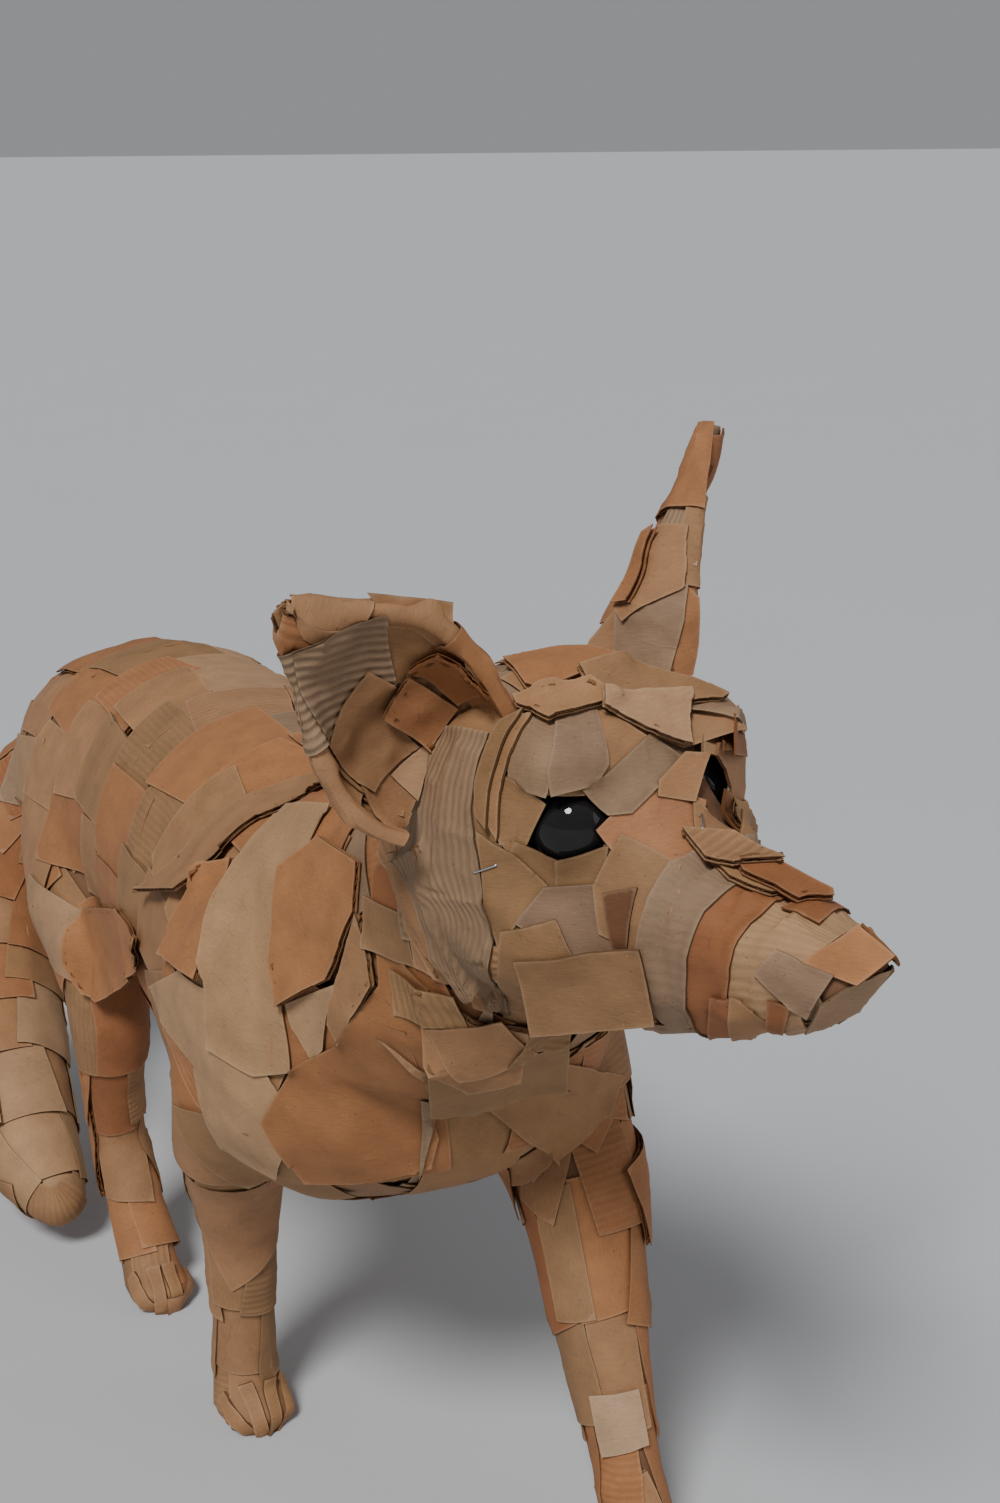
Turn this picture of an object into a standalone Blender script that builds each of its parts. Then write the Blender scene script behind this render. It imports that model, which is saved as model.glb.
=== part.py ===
"""A walking fox, near life size, built up from scraps of brown corrugated card over a rounded form.

The figure faces -Y and stands on z = 0. Its left side is +X. Every point of the free form is given
on a grid that divides the figure's length, so that the pose and the proportions follow that length.
Card thickness, eyes, staples and clearances keep their own sizes.
"""

import math

import bmesh
import bpy
from mathutils import Matrix, Vector
from mathutils.bvhtree import BVHTree

# Driving dimensions, in metres
FIGURE_LENGTH = 0.760  # nose to rump, along the ground
EYE_DIAMETER = 0.029
CARD_THICKNESS = 0.0022
STAPLE_CROWN = 0.0095
STAPLE_WIRE = 0.0007
GLUE_GAP = 0.0003  # between a scrap and what it lies on

# Form settings
GRID = FIGURE_LENGTH / 760  # one step of the tables below
BLEND_CELL = 4.0 * GRID  # how fine the joined form is rebuilt
BLEND_SMOOTHING = 6
FIGURE_TRIANGLES = 2860
RING_POINTS = 28
RING_ROUNDNESS = 2.3  # 2 is an ellipse, more is squarer
SMOOTH_BELOW = 40  # degrees, facets that meet at less are shaded as one

TOUCH = 2 * GLUE_GAP  # scraps closer than this, measured along the skin, are laid one over the other
SHEET_MARGIN = 40 * GRID  # how far past a scrap the skin is taken, before it is cut to size
LEVEL_SKIN = 0.85  # cosine past which the skin is level, so that a scrap is turned from forward
SAME_SIDE = 0.05  # least cosine between the skin and the way that a scrap faces

HEAD_CENTRE = (10, 10, 381)  # midway between the eyes
HEAD_YAW = 16  # degrees, turned to the figure's left
HEAD_PITCH = 0
HEAD_ROLL = -3  # its right side a little lower


def grid(*point):
    """A point of the tables, in metres."""
    return Vector(point) * GRID


def head_matrix():
    """The head's own frame: x to its left, -y forward, z up, with its origin between the eyes."""
    turn = (
        Matrix.Rotation(math.radians(HEAD_YAW), 4, "Z")
        @ Matrix.Rotation(math.radians(HEAD_PITCH), 4, "X")
        @ Matrix.Rotation(math.radians(HEAD_ROLL), 4, "Y")
    )
    return Matrix.Translation(grid(*HEAD_CENTRE)) @ turn


def head_point(left, forward, up):
    """A point in the head's frame, as a point of the figure."""
    return head_matrix() @ grid(left, -forward, up)


# The form, as stations: (x, y, z), half width, half height above and below that point

TORSO = (
    ((6, 122, 232), 30, 30, 32),
    ((6, 136, 232), 56, 56, 52),
    ((5, 165, 234), 76, 76, 70),
    ((3, 205, 236), 86, 88, 82),
    ((1, 250, 238), 86, 93, 84),
    ((0, 300, 241), 80, 93, 80),
    ((0, 360, 245), 75, 88, 74),
    ((0, 425, 248), 73, 82, 66),
    ((0, 490, 249), 76, 76, 66),
    ((0, 545, 247), 75, 68, 68),
    ((0, 592, 243), 64, 56, 60),
    ((0, 625, 240), 44, 38, 44),
    ((0, 642, 238), 22, 18, 22),
)

NECK = (
    ((4, 235, 262), 66, 58, 66),
    ((5, 190, 275), 70, 60, 74),
    ((6, 140, 300), 64, 56, 72),
    ((7, 98, 325), 56, 48, 62),
    ((8, 66, 345), 50, 44, 52),
    ((8, 45, 355), 34, 34, 40),
)

# The head's stations are in its own frame: left, forward, up
HEAD = (
    ((0, -90, -10), 20, 22, 24),
    ((0, -82, -10), 36, 36, 38),
    ((0, -64, -11), 47, 50, 50),
    ((0, -42, -12), 52, 57, 58),
    ((0, -25, -14), 52, 59, 62),
    ((0, -15, -15), 49, 57, 63),
    ((0, -8, -16), 42, 51, 63),
    ((0, -1, -17), 35, 44, 62),
    ((0, 8, -18), 31, 35, 60),
    ((0, 20, -20), 29, 19, 59),
    ((0, 38, -23), 25, 11.5, 50),
    ((0, 58, -27), 22, 10.5, 39),
    ((0, 80, -30), 18, 10, 25),
    ((0, 95, -30), 14, 7.5, 16),
    ((0, 103, -29), 9, 6, 9),
    ((0, 107, -28), 4, 3, 4),
)

LEG_FRONT_RIGHT = (
    ((-56, 205, 250), 22, 30, 30),
    ((-58, 228, 205), 27, 34, 34),
    ((-54, 262, 152), 24, 27, 26),
    ((-47, 278, 105), 18, 20, 20),
    ((-45, 281, 62), 15.5, 17, 17),
    ((-44, 284, 28), 15, 16, 16),
    ((-43, 283, 6), 17, 18, 18),
    ((-43, 283, -6), 17, 18, 18),
)

LEG_FRONT_LEFT = (
    ((60, 205, 250), 24, 30, 30),
    ((70, 190, 205), 30, 34, 34),
    ((70, 160, 155), 28, 28, 27),
    ((67, 132, 105), 21, 21, 21),
    ((67, 114, 62), 16, 17, 17),
    ((70, 104, 28), 15, 16, 16),
    ((72, 98, 6), 17, 18, 18),
    ((72, 98, -6), 17, 18, 18),
)

LEG_HIND_RIGHT = (
    ((-40, 560, 256), 26, 38, 38),
    ((-48, 520, 236), 30, 48, 48),
    ((-58, 470, 215), 29, 42, 46),
    ((-63, 436, 188), 25, 28, 32),
    ((-62, 430, 150), 20, 24, 24),
    ((-60, 437, 108), 15, 18, 18),
    ((-58, 441, 74), 14, 16, 18),
    ((-56, 424, 40), 13.5, 15, 15),
    ((-53, 408, 8), 16, 18, 18),
    ((-53, 404, -6), 16, 18, 18),
)

LEG_HIND_LEFT = (
    ((40, 560, 256), 26, 38, 38),
    ((48, 548, 230), 30, 48, 48),
    ((56, 524, 200), 29, 42, 40),
    ((58, 522, 166), 24, 30, 30),
    ((56, 552, 130), 18, 22, 22),
    ((53, 584, 98), 15, 18, 18),
    ((51, 594, 70), 14, 17, 17),
    ((51, 586, 38), 13.5, 15, 15),
    ((51, 576, 8), 16, 18, 18),
    ((51, 572, -6), 16, 18, 18),
)

TAIL = (
    ((0, 600, 258), 20, 20, 20),
    ((-8, 640, 242), 26, 26, 26),
    ((-34, 668, 206), 32, 32, 32),
    ((-64, 662, 158), 38, 38, 38),
    ((-86, 610, 106), 41, 41, 41),
    ((-95, 545, 66), 36, 36, 36),
    ((-92, 496, 42), 27, 27, 27),
    ((-86, 466, 28), 16, 16, 16),
    ((-84, 456, 24), 7, 7, 7),
)

PAWS = ((-43, 268), (72, 82), (-53, 390), (51, 556))  # front of each paw, x and y
TOE_SPREAD = 8.5
TOE_RADIUS = 7.5
PAW_PAD = (17, 18, 13)

# Rounded masses that the stations can't give: place in the head's frame, half sizes along its axes
HEAD_MASSES = (
    ((29, -4, 22), (18, 14, 12)),  # brow
    ((30, -22, -38), (19, 34, 25)),  # cheek
)

EYE_PLACE = (27, -3, 1)  # left one, in the head's frame
EYE_RINGS = 9

# Ears, in the head's frame: middle of the root, tip, the way the cup opens
EARS = {
    "ear_right": ((-49, -34, 19), (-98, -58, 77), (-62, 72, 30)),
    "ear_left": ((50, -34, 22), (92, -50, 108), (74, 62, 20)),
}
EAR_THICKNESS = 0.0036
EAR_ARC = 100  # degrees each side of the back of the cup
# along the ear: share of its length, half width, drift toward the upper rim, depth of the cup
EAR_PROFILE = (
    (-0.10, 28, -2, 24),
    (0.08, 33, -3, 28),
    (0.28, 35, -1, 24),
    (0.48, 31, 2, 17),
    (0.68, 22, 3, 11),
    (0.86, 12, 2, 6.5),
    (1.00, 5, 1, 4.5),
)
EAR_COLUMNS = 9


def shade(obj):
    obj.data.shade_smooth()
    obj.data.set_sharp_from_angle(angle=math.radians(SMOOTH_BELOW))


def new_object(name, mesh_maker):
    mesh = bpy.data.meshes.new(name)
    bm = bmesh.new()
    mesh_maker(bm)
    bmesh.ops.recalc_face_normals(bm, faces=bm.faces)
    bm.to_mesh(mesh)
    bm.free()
    obj = bpy.data.objects.new(name, mesh)
    bpy.context.scene.collection.objects.link(obj)
    return obj


def loft(stations, across=Vector((1, 0, 0)), frame=None, roundness=RING_ROUNDNESS):
    """A closed skin through rings that stand square to the path through the stations."""
    points = [grid(*station[0]) for station in stations]

    def make(bm):
        rings = []
        for i, (_, half_width, above, below) in enumerate(stations):
            ahead = points[min(i + 1, len(points) - 1)]
            behind = points[max(i - 1, 0)]
            along = (ahead - behind).normalized()
            upward = across.cross(along).normalized()
            sideways = along.cross(upward).normalized()
            ring = []
            for k in range(RING_POINTS):
                angle = 2 * math.pi * k / RING_POINTS
                c, s = math.cos(angle), math.sin(angle)
                wide = math.copysign(abs(c) ** (2 / roundness), c) * half_width * GRID
                high = math.copysign(abs(s) ** (2 / roundness), s) * GRID
                high *= above if upward.z * s >= 0 else below
                ring.append(bm.verts.new(points[i] + sideways * wide + upward * high))
            rings.append(ring)
        for first, second in zip(rings, rings[1:]):
            for k in range(RING_POINTS):
                m = (k + 1) % RING_POINTS
                bm.faces.new((first[k], first[m], second[m], second[k]))
        bm.faces.new(rings[0][::-1])
        bm.faces.new(rings[-1])
        if frame:
            bm.transform(frame)

    return make


def ellipsoid(centre, half_sizes, frame=None):
    def make(bm):
        place = Matrix.Translation(grid(*centre)) @ Matrix.Diagonal((*grid(*half_sizes), 1))
        if frame:
            place = frame @ place
        bmesh.ops.create_icosphere(bm, subdivisions=3, radius=1, matrix=place)

    return make


def paw_makers():
    """Four toes and a pad for each paw, the two middle toes further out."""
    toe = (TOE_RADIUS * 0.72, TOE_RADIUS * 1.5, TOE_RADIUS)
    for x, y in PAWS:
        for side, forward in ((-1.5, 0), (-0.5, 3.5), (0.5, 3.5), (1.5, 0)):
            yield ellipsoid((x + side * TOE_SPREAD, y + 1 - forward, TOE_RADIUS - 0.5), toe)
        yield ellipsoid((x, y + 12, 4), PAW_PAD)


def form_makers():
    for stations in (TORSO, NECK):
        yield loft(stations)
    for leg in (LEG_FRONT_RIGHT, LEG_FRONT_LEFT, LEG_HIND_RIGHT, LEG_HIND_LEFT):
        yield loft(leg)
    yield loft(TAIL, roundness=2)
    head = head_matrix()
    flipped = tuple(((x, -f, u), w, a, b) for (x, f, u), w, a, b in HEAD)
    yield loft(flipped, frame=head)
    for (left, forward, up), half_sizes in HEAD_MASSES:
        for side in (-1, 1):
            yield ellipsoid((side * left, -forward, up), half_sizes, head)
    yield from paw_makers()


def use(obj, kind, **settings):
    modifier = obj.modifiers.new(kind.title(), kind)
    for name, value in settings.items():
        setattr(modifier, name, value)
    return modifier


def bake(obj):
    """Gives the object the mesh that its modifiers make."""
    graph = bpy.context.evaluated_depsgraph_get()
    mesh = bpy.data.meshes.new_from_object(obj.evaluated_get(graph))
    obj.modifiers.clear()
    obj.data = mesh


def build_figure():
    def all_forms(bm):
        for make in form_makers():
            piece = bmesh.new()
            make(piece)
            bmesh.ops.recalc_face_normals(piece, faces=piece.faces)
            mesh = bpy.data.meshes.new("piece")
            piece.to_mesh(mesh)
            piece.free()
            bm.from_mesh(mesh)
            bpy.data.meshes.remove(mesh)

    figure = new_object("figure", all_forms)
    use(figure, "REMESH", mode="VOXEL", voxel_size=BLEND_CELL)
    use(figure, "SMOOTH", factor=0.5, iterations=BLEND_SMOOTHING)
    bake(figure)
    share = FIGURE_TRIANGLES / sum(len(p.vertices) - 2 for p in figure.data.polygons)
    use(figure, "DECIMATE", ratio=share)
    bake(figure)
    flatten_soles(figure)
    return figure


def flatten_soles(figure):
    """Cuts the paws off level at z = 0, so that the figure stands on four flat soles."""
    bm = bmesh.new()
    bm.from_mesh(figure.data)
    everything = bm.verts[:] + bm.edges[:] + bm.faces[:]
    bmesh.ops.bisect_plane(
        bm, geom=everything, dist=1e-5, plane_co=(0, 0, 0), plane_no=(0, 0, -1), clear_outer=True
    )
    open_edges = [edge for edge in bm.edges if edge.is_boundary]
    bmesh.ops.holes_fill(bm, edges=open_edges, sides=0)
    bmesh.ops.triangulate(bm, faces=[face for face in bm.faces if len(face.verts) > 4])
    bmesh.ops.recalc_face_normals(bm, faces=bm.faces)
    bm.to_mesh(figure.data)
    bm.free()


def ball(radius):
    def make(bm):
        bmesh.ops.create_uvsphere(bm, u_segments=2 * EYE_RINGS, v_segments=EYE_RINGS, radius=radius)

    return make


def cut(obj, cutter):
    use(obj, "BOOLEAN", operation="DIFFERENCE", solver="EXACT", object=cutter)
    bake(obj)


def add_eyes(figure):
    left, forward, up = EYE_PLACE
    for name, side in (("eye_right", -1), ("eye_left", 1)):
        turn = head_matrix().to_3x3().to_4x4() @ Matrix.Rotation(math.radians(90), 4, "X")
        place = Matrix.Translation(head_point(side * left, forward, up)) @ turn
        eye = new_object(name, ball(EYE_DIAMETER / 2))
        eye.data.transform(place)
        socket = new_object("socket", ball(EYE_DIAMETER / 2 + GLUE_GAP))
        socket.data.transform(place)
        cut(figure, socket)
        bpy.data.objects.remove(socket)
        shade(eye)
        paint(eye, "black glass", (0.010, 0.009, 0.009), 0.04)


def ear_maker(root, tip, opening):
    """A cupped leaf of even thickness, from inside the head out to the tip."""
    base, end = head_point(*root), head_point(*tip)
    axis = end - base
    face = (head_point(*opening) - head_point(0, 0, 0)).normalized()
    face = (face - axis.normalized() * face.dot(axis.normalized())).normalized()
    rim_way = axis.normalized().cross(face)
    if rim_way.z < 0:
        rim_way.negate()

    def point(station, k, inset):
        share, half_width, drift, depth = station
        angle = math.radians(EAR_ARC) * (2 * k / (EAR_COLUMNS - 1) - 1)
        wide = half_width * GRID - inset
        deep = depth * GRID - inset
        middle = base + axis * share + rim_way * drift * GRID
        return middle + rim_way * wide * math.sin(angle) - face * deep * math.cos(angle)

    def make(bm):
        skins = []
        for inset in (0, EAR_THICKNESS):
            skins.append(
                [
                    [bm.verts.new(point(station, k, inset)) for k in range(EAR_COLUMNS)]
                    for station in EAR_PROFILE
                ]
            )
        outer, inner = skins
        last = len(EAR_PROFILE) - 1
        for i in range(last):
            for k in range(EAR_COLUMNS - 1):
                for skin in skins:
                    bm.faces.new(
                        (skin[i][k], skin[i][k + 1], skin[i + 1][k + 1], skin[i + 1][k])
                    )
            for k in (0, EAR_COLUMNS - 1):
                bm.faces.new((outer[i][k], outer[i + 1][k], inner[i + 1][k], inner[i][k]))
        for i in (0, last):
            for k in range(EAR_COLUMNS - 1):
                bm.faces.new((outer[i][k], outer[i][k + 1], inner[i][k + 1], inner[i][k]))

    return make


def skin_normals(mesh):
    """For each vertex, the way that the skin grows there."""
    return [vertex.normal.copy() for vertex in mesh.vertices]


def swollen(figure, distance):
    """A helper: the figure, grown by a distance."""
    helper = figure.copy()
    helper.data = figure.data.copy()
    helper.name = "swollen"
    bpy.context.scene.collection.objects.link(helper)
    for vertex, way in zip(helper.data.vertices, skin_normals(figure.data)):
        vertex.co += way * distance
    return helper


def add_ears(figure):
    clear = swollen(figure, GLUE_GAP)
    for name, (root, tip, opening) in EARS.items():
        ear = new_object(name, ear_maker(root, tip, opening))
        cut(ear, clear)
        keep_largest(ear)
        shade(ear)
        paint(ear, "card of the ears", (0.33, 0.19, 0.10), 0.85)
    bpy.data.objects.remove(clear)


def islands(bm):
    """The separate pieces of a mesh, each as a set of faces."""
    left = set(bm.faces)
    while left:
        found = {left.pop()}
        front = list(found)
        while front:
            for edge in front.pop().edges:
                for face in edge.link_faces:
                    if face in left:
                        left.remove(face)
                        found.add(face)
                        front.append(face)
        yield found


def keep_largest(obj):
    bm = bmesh.new()
    bm.from_mesh(obj.data)
    pieces = sorted(islands(bm), key=lambda faces: sum(face.calc_area() for face in faces))
    for faces in pieces[:-1]:
        bmesh.ops.delete(bm, geom=list(faces), context="FACES")
    bm.to_mesh(obj.data)
    bm.free()


# Scraps of card that stand out from the skin. On the head the place is in its own frame.
# name: left, forward, up, width, length, turn, share of the width at the far end, lift of that end
HEAD_SCRAPS = {
    "temple_band_right": (-51, -34, -2, 20, 58, 4, 1.15, 0),
    "temple_band_left": (51, -34, -2, 20, 58, -4, 1.15, 0),
    "jaw_band_right": (-42, -37, -56, 14, 38, -16, 1.3, 0),
    "jaw_band_left": (42, -37, -56, 14, 38, 16, 1.3, 0),
    "temple_right": (-46, -13, -20, 12, 18, -13, 1.4, 0),
    "temple_left": (46, -13, -12, 14, 26, 10, 1.2, 0),
    "brow_right": (-32, -3, 33, 22, 17, 130, 1.05, 0),
    "brow_left": (28, 1, 33, 18, 14, -130, 1.05, 0),
    "brow_side_left": (41, 3, 24, 13, 15, 170, 1.2, 2.5),
    "brow_inner": (-14, 8, 23, 11, 16, -45, 1.3, 0),
    "bridge_strip": (-11, 13, 17, 11, 30, -72, 1.3, 0),
    "between_eyes": (9, 16, 13, 14, 13, 39, 1.1, 0),
    "brow_flap_right": (8, 1, 31, 26, 13, 162, 0.9, 2.5),
    "brow_flap_left": (-20, -9, 40, 24, 11, 151, 0.8, 2.5),
    "crown_card": (-12, -24, 47, 27, 18, 155, 0.9, 1.5),
    "crown_card_left": (16, -14, 42, 28, 14, -158, 0.9, 1.5),
    "crown_back": (-2, -60, 44, 36, 20, 178, 0.9, 1),
    "nape_card": (0, -84, 14, 40, 26, 184, 0.9, 1),
    "nose_bridge": (-8, 24, 0, 24, 20, 8, 0.85, 0),
    "lower_lid": (-34, 3, -14, 20, 8, 14, 1.3, 0),
    "cheek_grey": (-35, 7, -29, 15, 18, 18, 1.05, 0),
    "cheek_tan": (-27, 25, -13, 16, 20, -10, 1.15, 0),
    "cheek_card": (-33, 8, -52, 38, 22, -6, 1.0, 1),
    "cheek_left_upper": (34, 12, -24, 24, 24, -14, 1.1, 0),
    "cheek_left_lower": (34, 6, -52, 32, 24, 8, 0.9, 1),
    "jaw_card": (-47, -19, -42, 13, 20, -8, 1.1, 0),
    "muzzle_square": (-18, 78, -37, 14, 14, 40, 1.0, 1),
    "nose_flap_low": (2, 40, -6, 22, 11, 168, 1.05, 2),
    "nose_flap_high": (5, 60, -13, 18, 12, 187, 0.9, 2),
    "nose_cap": (-3, 95, -21, 18, 14, 180, 0.7, 0.5),
}

# Scraps on the body: x, y, z, width, length, turn, share of the width at the far end, lift
BODY_SCRAPS = {
    "chest_front": (-4, 120, 215, 38, 42, 4, 1.0, 1),
    "chest_card_right": (-50, 132, 235, 44, 70, -12, 0.8, 1),
    "chest_card_left": (58, 132, 235, 40, 60, 12, 0.85, 1),
    "shoulder_strip_right": (-64, 170, 285, 28, 74, -12, 1.3, 0),
    "shoulder_strip_left": (70, 165, 285, 28, 74, 12, 1.3, 0),
    "throat_card": (6, 98, 268, 40, 30, 6, 0.9, 1),
    "rump_card": (0, 622, 262, 46, 34, 176, 0.9, 1),
}

# Rows of scraps along the back and the flanks, laid like shingles
FLANK_START, FLANK_STEP, FLANK_COUNT = 262, 84, 4
FLANK_ROWS = (
    # sideways, height, width, length
    (-30, 345, 50, 56),
    (-82, 262, 50, 62),
    (82, 262, 50, 62),
)
FLANK_SHIFT = 14  # each row starts this much further back
FLANK_SWAY = (9, -12, 16, -7)  # degrees, scrap by scrap

# Bands round the muzzle: where they start and end ahead of the eyes, and how far they lean
MUZZLE_BANDS = {
    "muzzle_band_back": (29.5, 45.5, 14),
    "muzzle_band_middle": (46.5, 61, 14),
    "muzzle_band_front": (62, 80, 14),
}


class Skin:
    """The figure's surface, as the sheet that scraps are cut from."""

    def __init__(self, figure):
        mesh = figure.data
        mesh.calc_loop_triangles()
        self.points = [vertex.co.copy() for vertex in mesh.vertices]
        self.corners = [tuple(face.vertices) for face in mesh.polygons]
        self.ways = [face.normal.copy() for face in mesh.polygons]
        self.middles = [face.center.copy() for face in mesh.polygons]
        self.growth = self.smooth([vertex.normal.copy() for vertex in mesh.vertices])
        self.tree = BVHTree.FromPolygons(self.points, self.corners)
        self.laid = []

    def smooth(self, growth):
        beside = [set() for _ in self.points]
        for corners in self.corners:
            for i in corners:
                beside[i].update(corners)
        for _ in range(2):
            growth = [sum((growth[j] for j in near), Vector()).normalized() for near in beside]
        return growth

    def near(self, place, reach):
        return [i for i, middle in enumerate(self.middles) if (middle - place).length < reach]

    def facing(self, place, reach):
        """The way that the skin faces, over a scrap's width."""
        on_skin, normal, index, _ = self.tree.find_nearest(place)
        total = Vector(normal)
        for i in self.near(on_skin, reach):
            if self.ways[i].dot(normal) > 0.3:
                total += self.ways[i]
        return on_skin, total.normalized()

    def sheet(self, indices):
        """Some of the skin's facets as an open sheet, each point knowing how the skin grows there."""
        bm = bmesh.new()
        grow = bm.verts.layers.float_vector.new("growth")
        made = {}
        for i in indices:
            for corner in self.corners[i]:
                if corner not in made:
                    made[corner] = bm.verts.new(self.points[corner])
                    made[corner][grow] = self.growth[corner]
            bm.faces.new([made[corner] for corner in self.corners[i]])
        bm.normal_update()
        return bm

    def layer_over(self, sheet):
        """How many scraps lie under this one."""
        spots = [vertex.co.copy() for vertex in sheet.verts]
        spots += [face.calc_center_median() for face in sheet.faces]
        tree = BVHTree.FromBMesh(sheet)
        under = 0
        for layer, other_spots, other_tree in self.laid:
            touching = any(other_tree.find_nearest(spot, TOUCH)[0] for spot in spots)
            touching = touching or any(tree.find_nearest(spot, TOUCH)[0] for spot in other_spots)
            if touching:
                under = max(under, layer + 1)
        self.laid.append((under, spots, tree))
        return under


def trim(bm, plane_point, plane_way):
    everything = bm.verts[:] + bm.edges[:] + bm.faces[:]
    bmesh.ops.bisect_plane(
        bm, geom=everything, dist=1e-6, plane_co=plane_point, plane_no=plane_way, clear_outer=True
    )


def keep_nearest(bm, place):
    pieces = list(islands(bm))
    nearest = min(pieces, key=lambda faces: min((f.calc_center_median() - place).length for f in faces))
    for faces in pieces:
        if faces is not nearest:
            bmesh.ops.delete(bm, geom=list(faces), context="FACES")


def thicken(bm, name, layer, rise=lambda point: 0):
    """Turns an open sheet into a closed scrap, at the height of its layer above the skin."""
    bmesh.ops.remove_doubles(bm, verts=bm.verts, dist=CARD_THICKNESS / 20)
    bmesh.ops.dissolve_degenerate(bm, edges=bm.edges, dist=CARD_THICKNESS / 20)
    bmesh.ops.triangulate(bm, faces=bm.faces)
    grow = bm.verts.layers.float_vector["growth"]
    under, over = {}, {}
    solid = bmesh.new()
    for vertex in bm.verts:
        low = GLUE_GAP + layer * (GLUE_GAP + CARD_THICKNESS) + rise(vertex.co)
        way = vertex[grow]
        under[vertex] = solid.verts.new(vertex.co + way * low)
        over[vertex] = solid.verts.new(vertex.co + way * (low + CARD_THICKNESS))
    for face in bm.faces:
        solid.faces.new([over[vertex] for vertex in face.verts])
        solid.faces.new([under[vertex] for vertex in reversed(face.verts)])
    for edge in bm.edges:
        if edge.is_boundary:
            first, second = edge.verts
            solid.faces.new((under[first], under[second], over[second], over[first]))
    bmesh.ops.triangulate(solid, faces=[face for face in solid.faces if len(face.verts) > 3])
    bmesh.ops.recalc_face_normals(solid, faces=solid.faces)
    mesh = bpy.data.meshes.new(name)
    solid.to_mesh(mesh)
    solid.free()
    obj = bpy.data.objects.new(name, mesh)
    bpy.context.scene.collection.objects.link(obj)
    return obj


def lay_scrap(skin, name, place, upward, forward, width, length, turn, taper, lift):
    width, length, lift = width * GRID, length * GRID, lift * GRID
    spot, facing = skin.facing(place, 0.4 * max(width, length))
    guide = upward if abs(facing.dot(upward)) < LEVEL_SKIN else forward
    along = (guide - facing * guide.dot(facing)).normalized()
    along = Matrix.Rotation(math.radians(turn), 3, facing) @ along
    across = along.cross(facing)
    corners = [
        spot + across * side * width / 2 * share + along * end * length / 2
        for side, end, share in ((-1, -1, 1), (1, -1, 1), (1, 1, taper), (-1, 1, taper))
    ]
    reach = 0.5 * math.hypot(width, length) + SHEET_MARGIN
    bm = skin.sheet([i for i in skin.near(spot, reach) if skin.ways[i].dot(facing) > SAME_SIDE])
    for first, second in zip(corners, corners[1:] + corners[:1]):
        trim(bm, first, (second - first).cross(facing))
    keep_nearest(bm, spot)
    layer = skin.layer_over(bm)

    def rise(point):
        return lift * min(max((point - spot).dot(along) / length + 0.5, 0), 1) ** 2

    scrap = thicken(bm, name, layer, rise)
    bm.free()
    return scrap


def flank_scraps():
    """The shingled rows, as rows of the body's table."""
    for r, (x, z, width, length) in enumerate(FLANK_ROWS):
        for i in range(FLANK_COUNT):
            sway = FLANK_SWAY[(i + 2 * r) % len(FLANK_SWAY)]
            y = FLANK_START + FLANK_STEP * i + FLANK_SHIFT * r
            size = 1 - 0.07 * ((i + r) % 3)
            turn = sway + (180 if r == 0 else 0)
            row = (x, y, z, width * size, length * size, turn, 0.85 + 0.1 * (i % 2), 1.5)
            yield f"flank_{'abc'[r]}{i + 1}", row


def lay_band(skin, name, start, end, lean):
    """A band all round the muzzle."""
    way = head_matrix().to_3x3() @ Vector((0, -1, -math.tan(math.radians(lean))))
    way.normalize()
    first, second = head_point(0, start, -25), head_point(0, end, -25)
    reach = (second - first).length / 2 + 1.5 * SHEET_MARGIN
    bm = skin.sheet(skin.near((first + second) / 2, reach))
    trim(bm, first, -way)
    trim(bm, second, way)
    keep_nearest(bm, (first + second) / 2)
    layer = skin.layer_over(bm)
    band = thicken(bm, name, layer)
    bm.free()
    return band


def clear_of_eyes(scrap):
    left, forward, up = EYE_PLACE
    for side in (-1, 1):
        centre = head_point(side * left, forward, up)
        near = min((Vector(vertex.co) - centre).length for vertex in scrap.data.vertices)
        if near < EYE_DIAMETER / 2 + 4 * GLUE_GAP:
            room = new_object("room", ball(EYE_DIAMETER / 2 + 2 * GLUE_GAP))
            room.data.transform(Matrix.Translation(centre))
            cut(scrap, room)
            bpy.data.objects.remove(room)
            keep_largest(scrap)


def add_scraps(figure):
    skin = Skin(figure)
    turn = head_matrix().to_3x3()
    for name, (start, end, lean) in MUZZLE_BANDS.items():
        paint(lay_band(skin, name, start, end, lean), "card of the bands", (0.40, 0.24, 0.13), 0.9)
    for name, (left, forward, up, *rest) in HEAD_SCRAPS.items():
        place = head_point(left, forward, up)
        ahead, above = turn @ Vector((0, -1, 0)), turn @ Vector((0, 0, 1))
        scrap = lay_scrap(skin, name, place, above, ahead, *rest)
        clear_of_eyes(scrap)
        paint(scrap, "card of the head", (0.38, 0.22, 0.12), 0.9)
    for name, (x, y, z, *rest) in (*BODY_SCRAPS.items(), *flank_scraps()):
        ahead, above = Vector((0, -1, 0)), Vector((0, 0, 1))
        scrap = lay_scrap(skin, name, grid(x, y, z), above, ahead, *rest)
        paint(scrap, "card of the body", (0.34, 0.18, 0.09), 0.9)


# Staples: place in the head's frame, turn
STAPLES = {
    "staple_temple": (-51, -22, -20, 72),
    "staple_bridge": (12, 22, 2, 8),
}
PROBE_LENGTH = 60 * GRID
PROBE_SHARES = (-0.5, -0.25, 0, 0.25, 0.5)  # along the crown


def outer_spot(place, facing):
    """Where a line from outside, aimed at a place, first meets any solid."""
    start = place + facing * PROBE_LENGTH
    hits = []
    for obj in bpy.data.objects:
        tree = BVHTree.FromObject(obj, bpy.context.evaluated_depsgraph_get())
        hit = tree.ray_cast(start, -facing)[0]
        if hit:
            hits.append(hit)
    return max(hits, key=lambda hit: hit.dot(facing))


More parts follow.
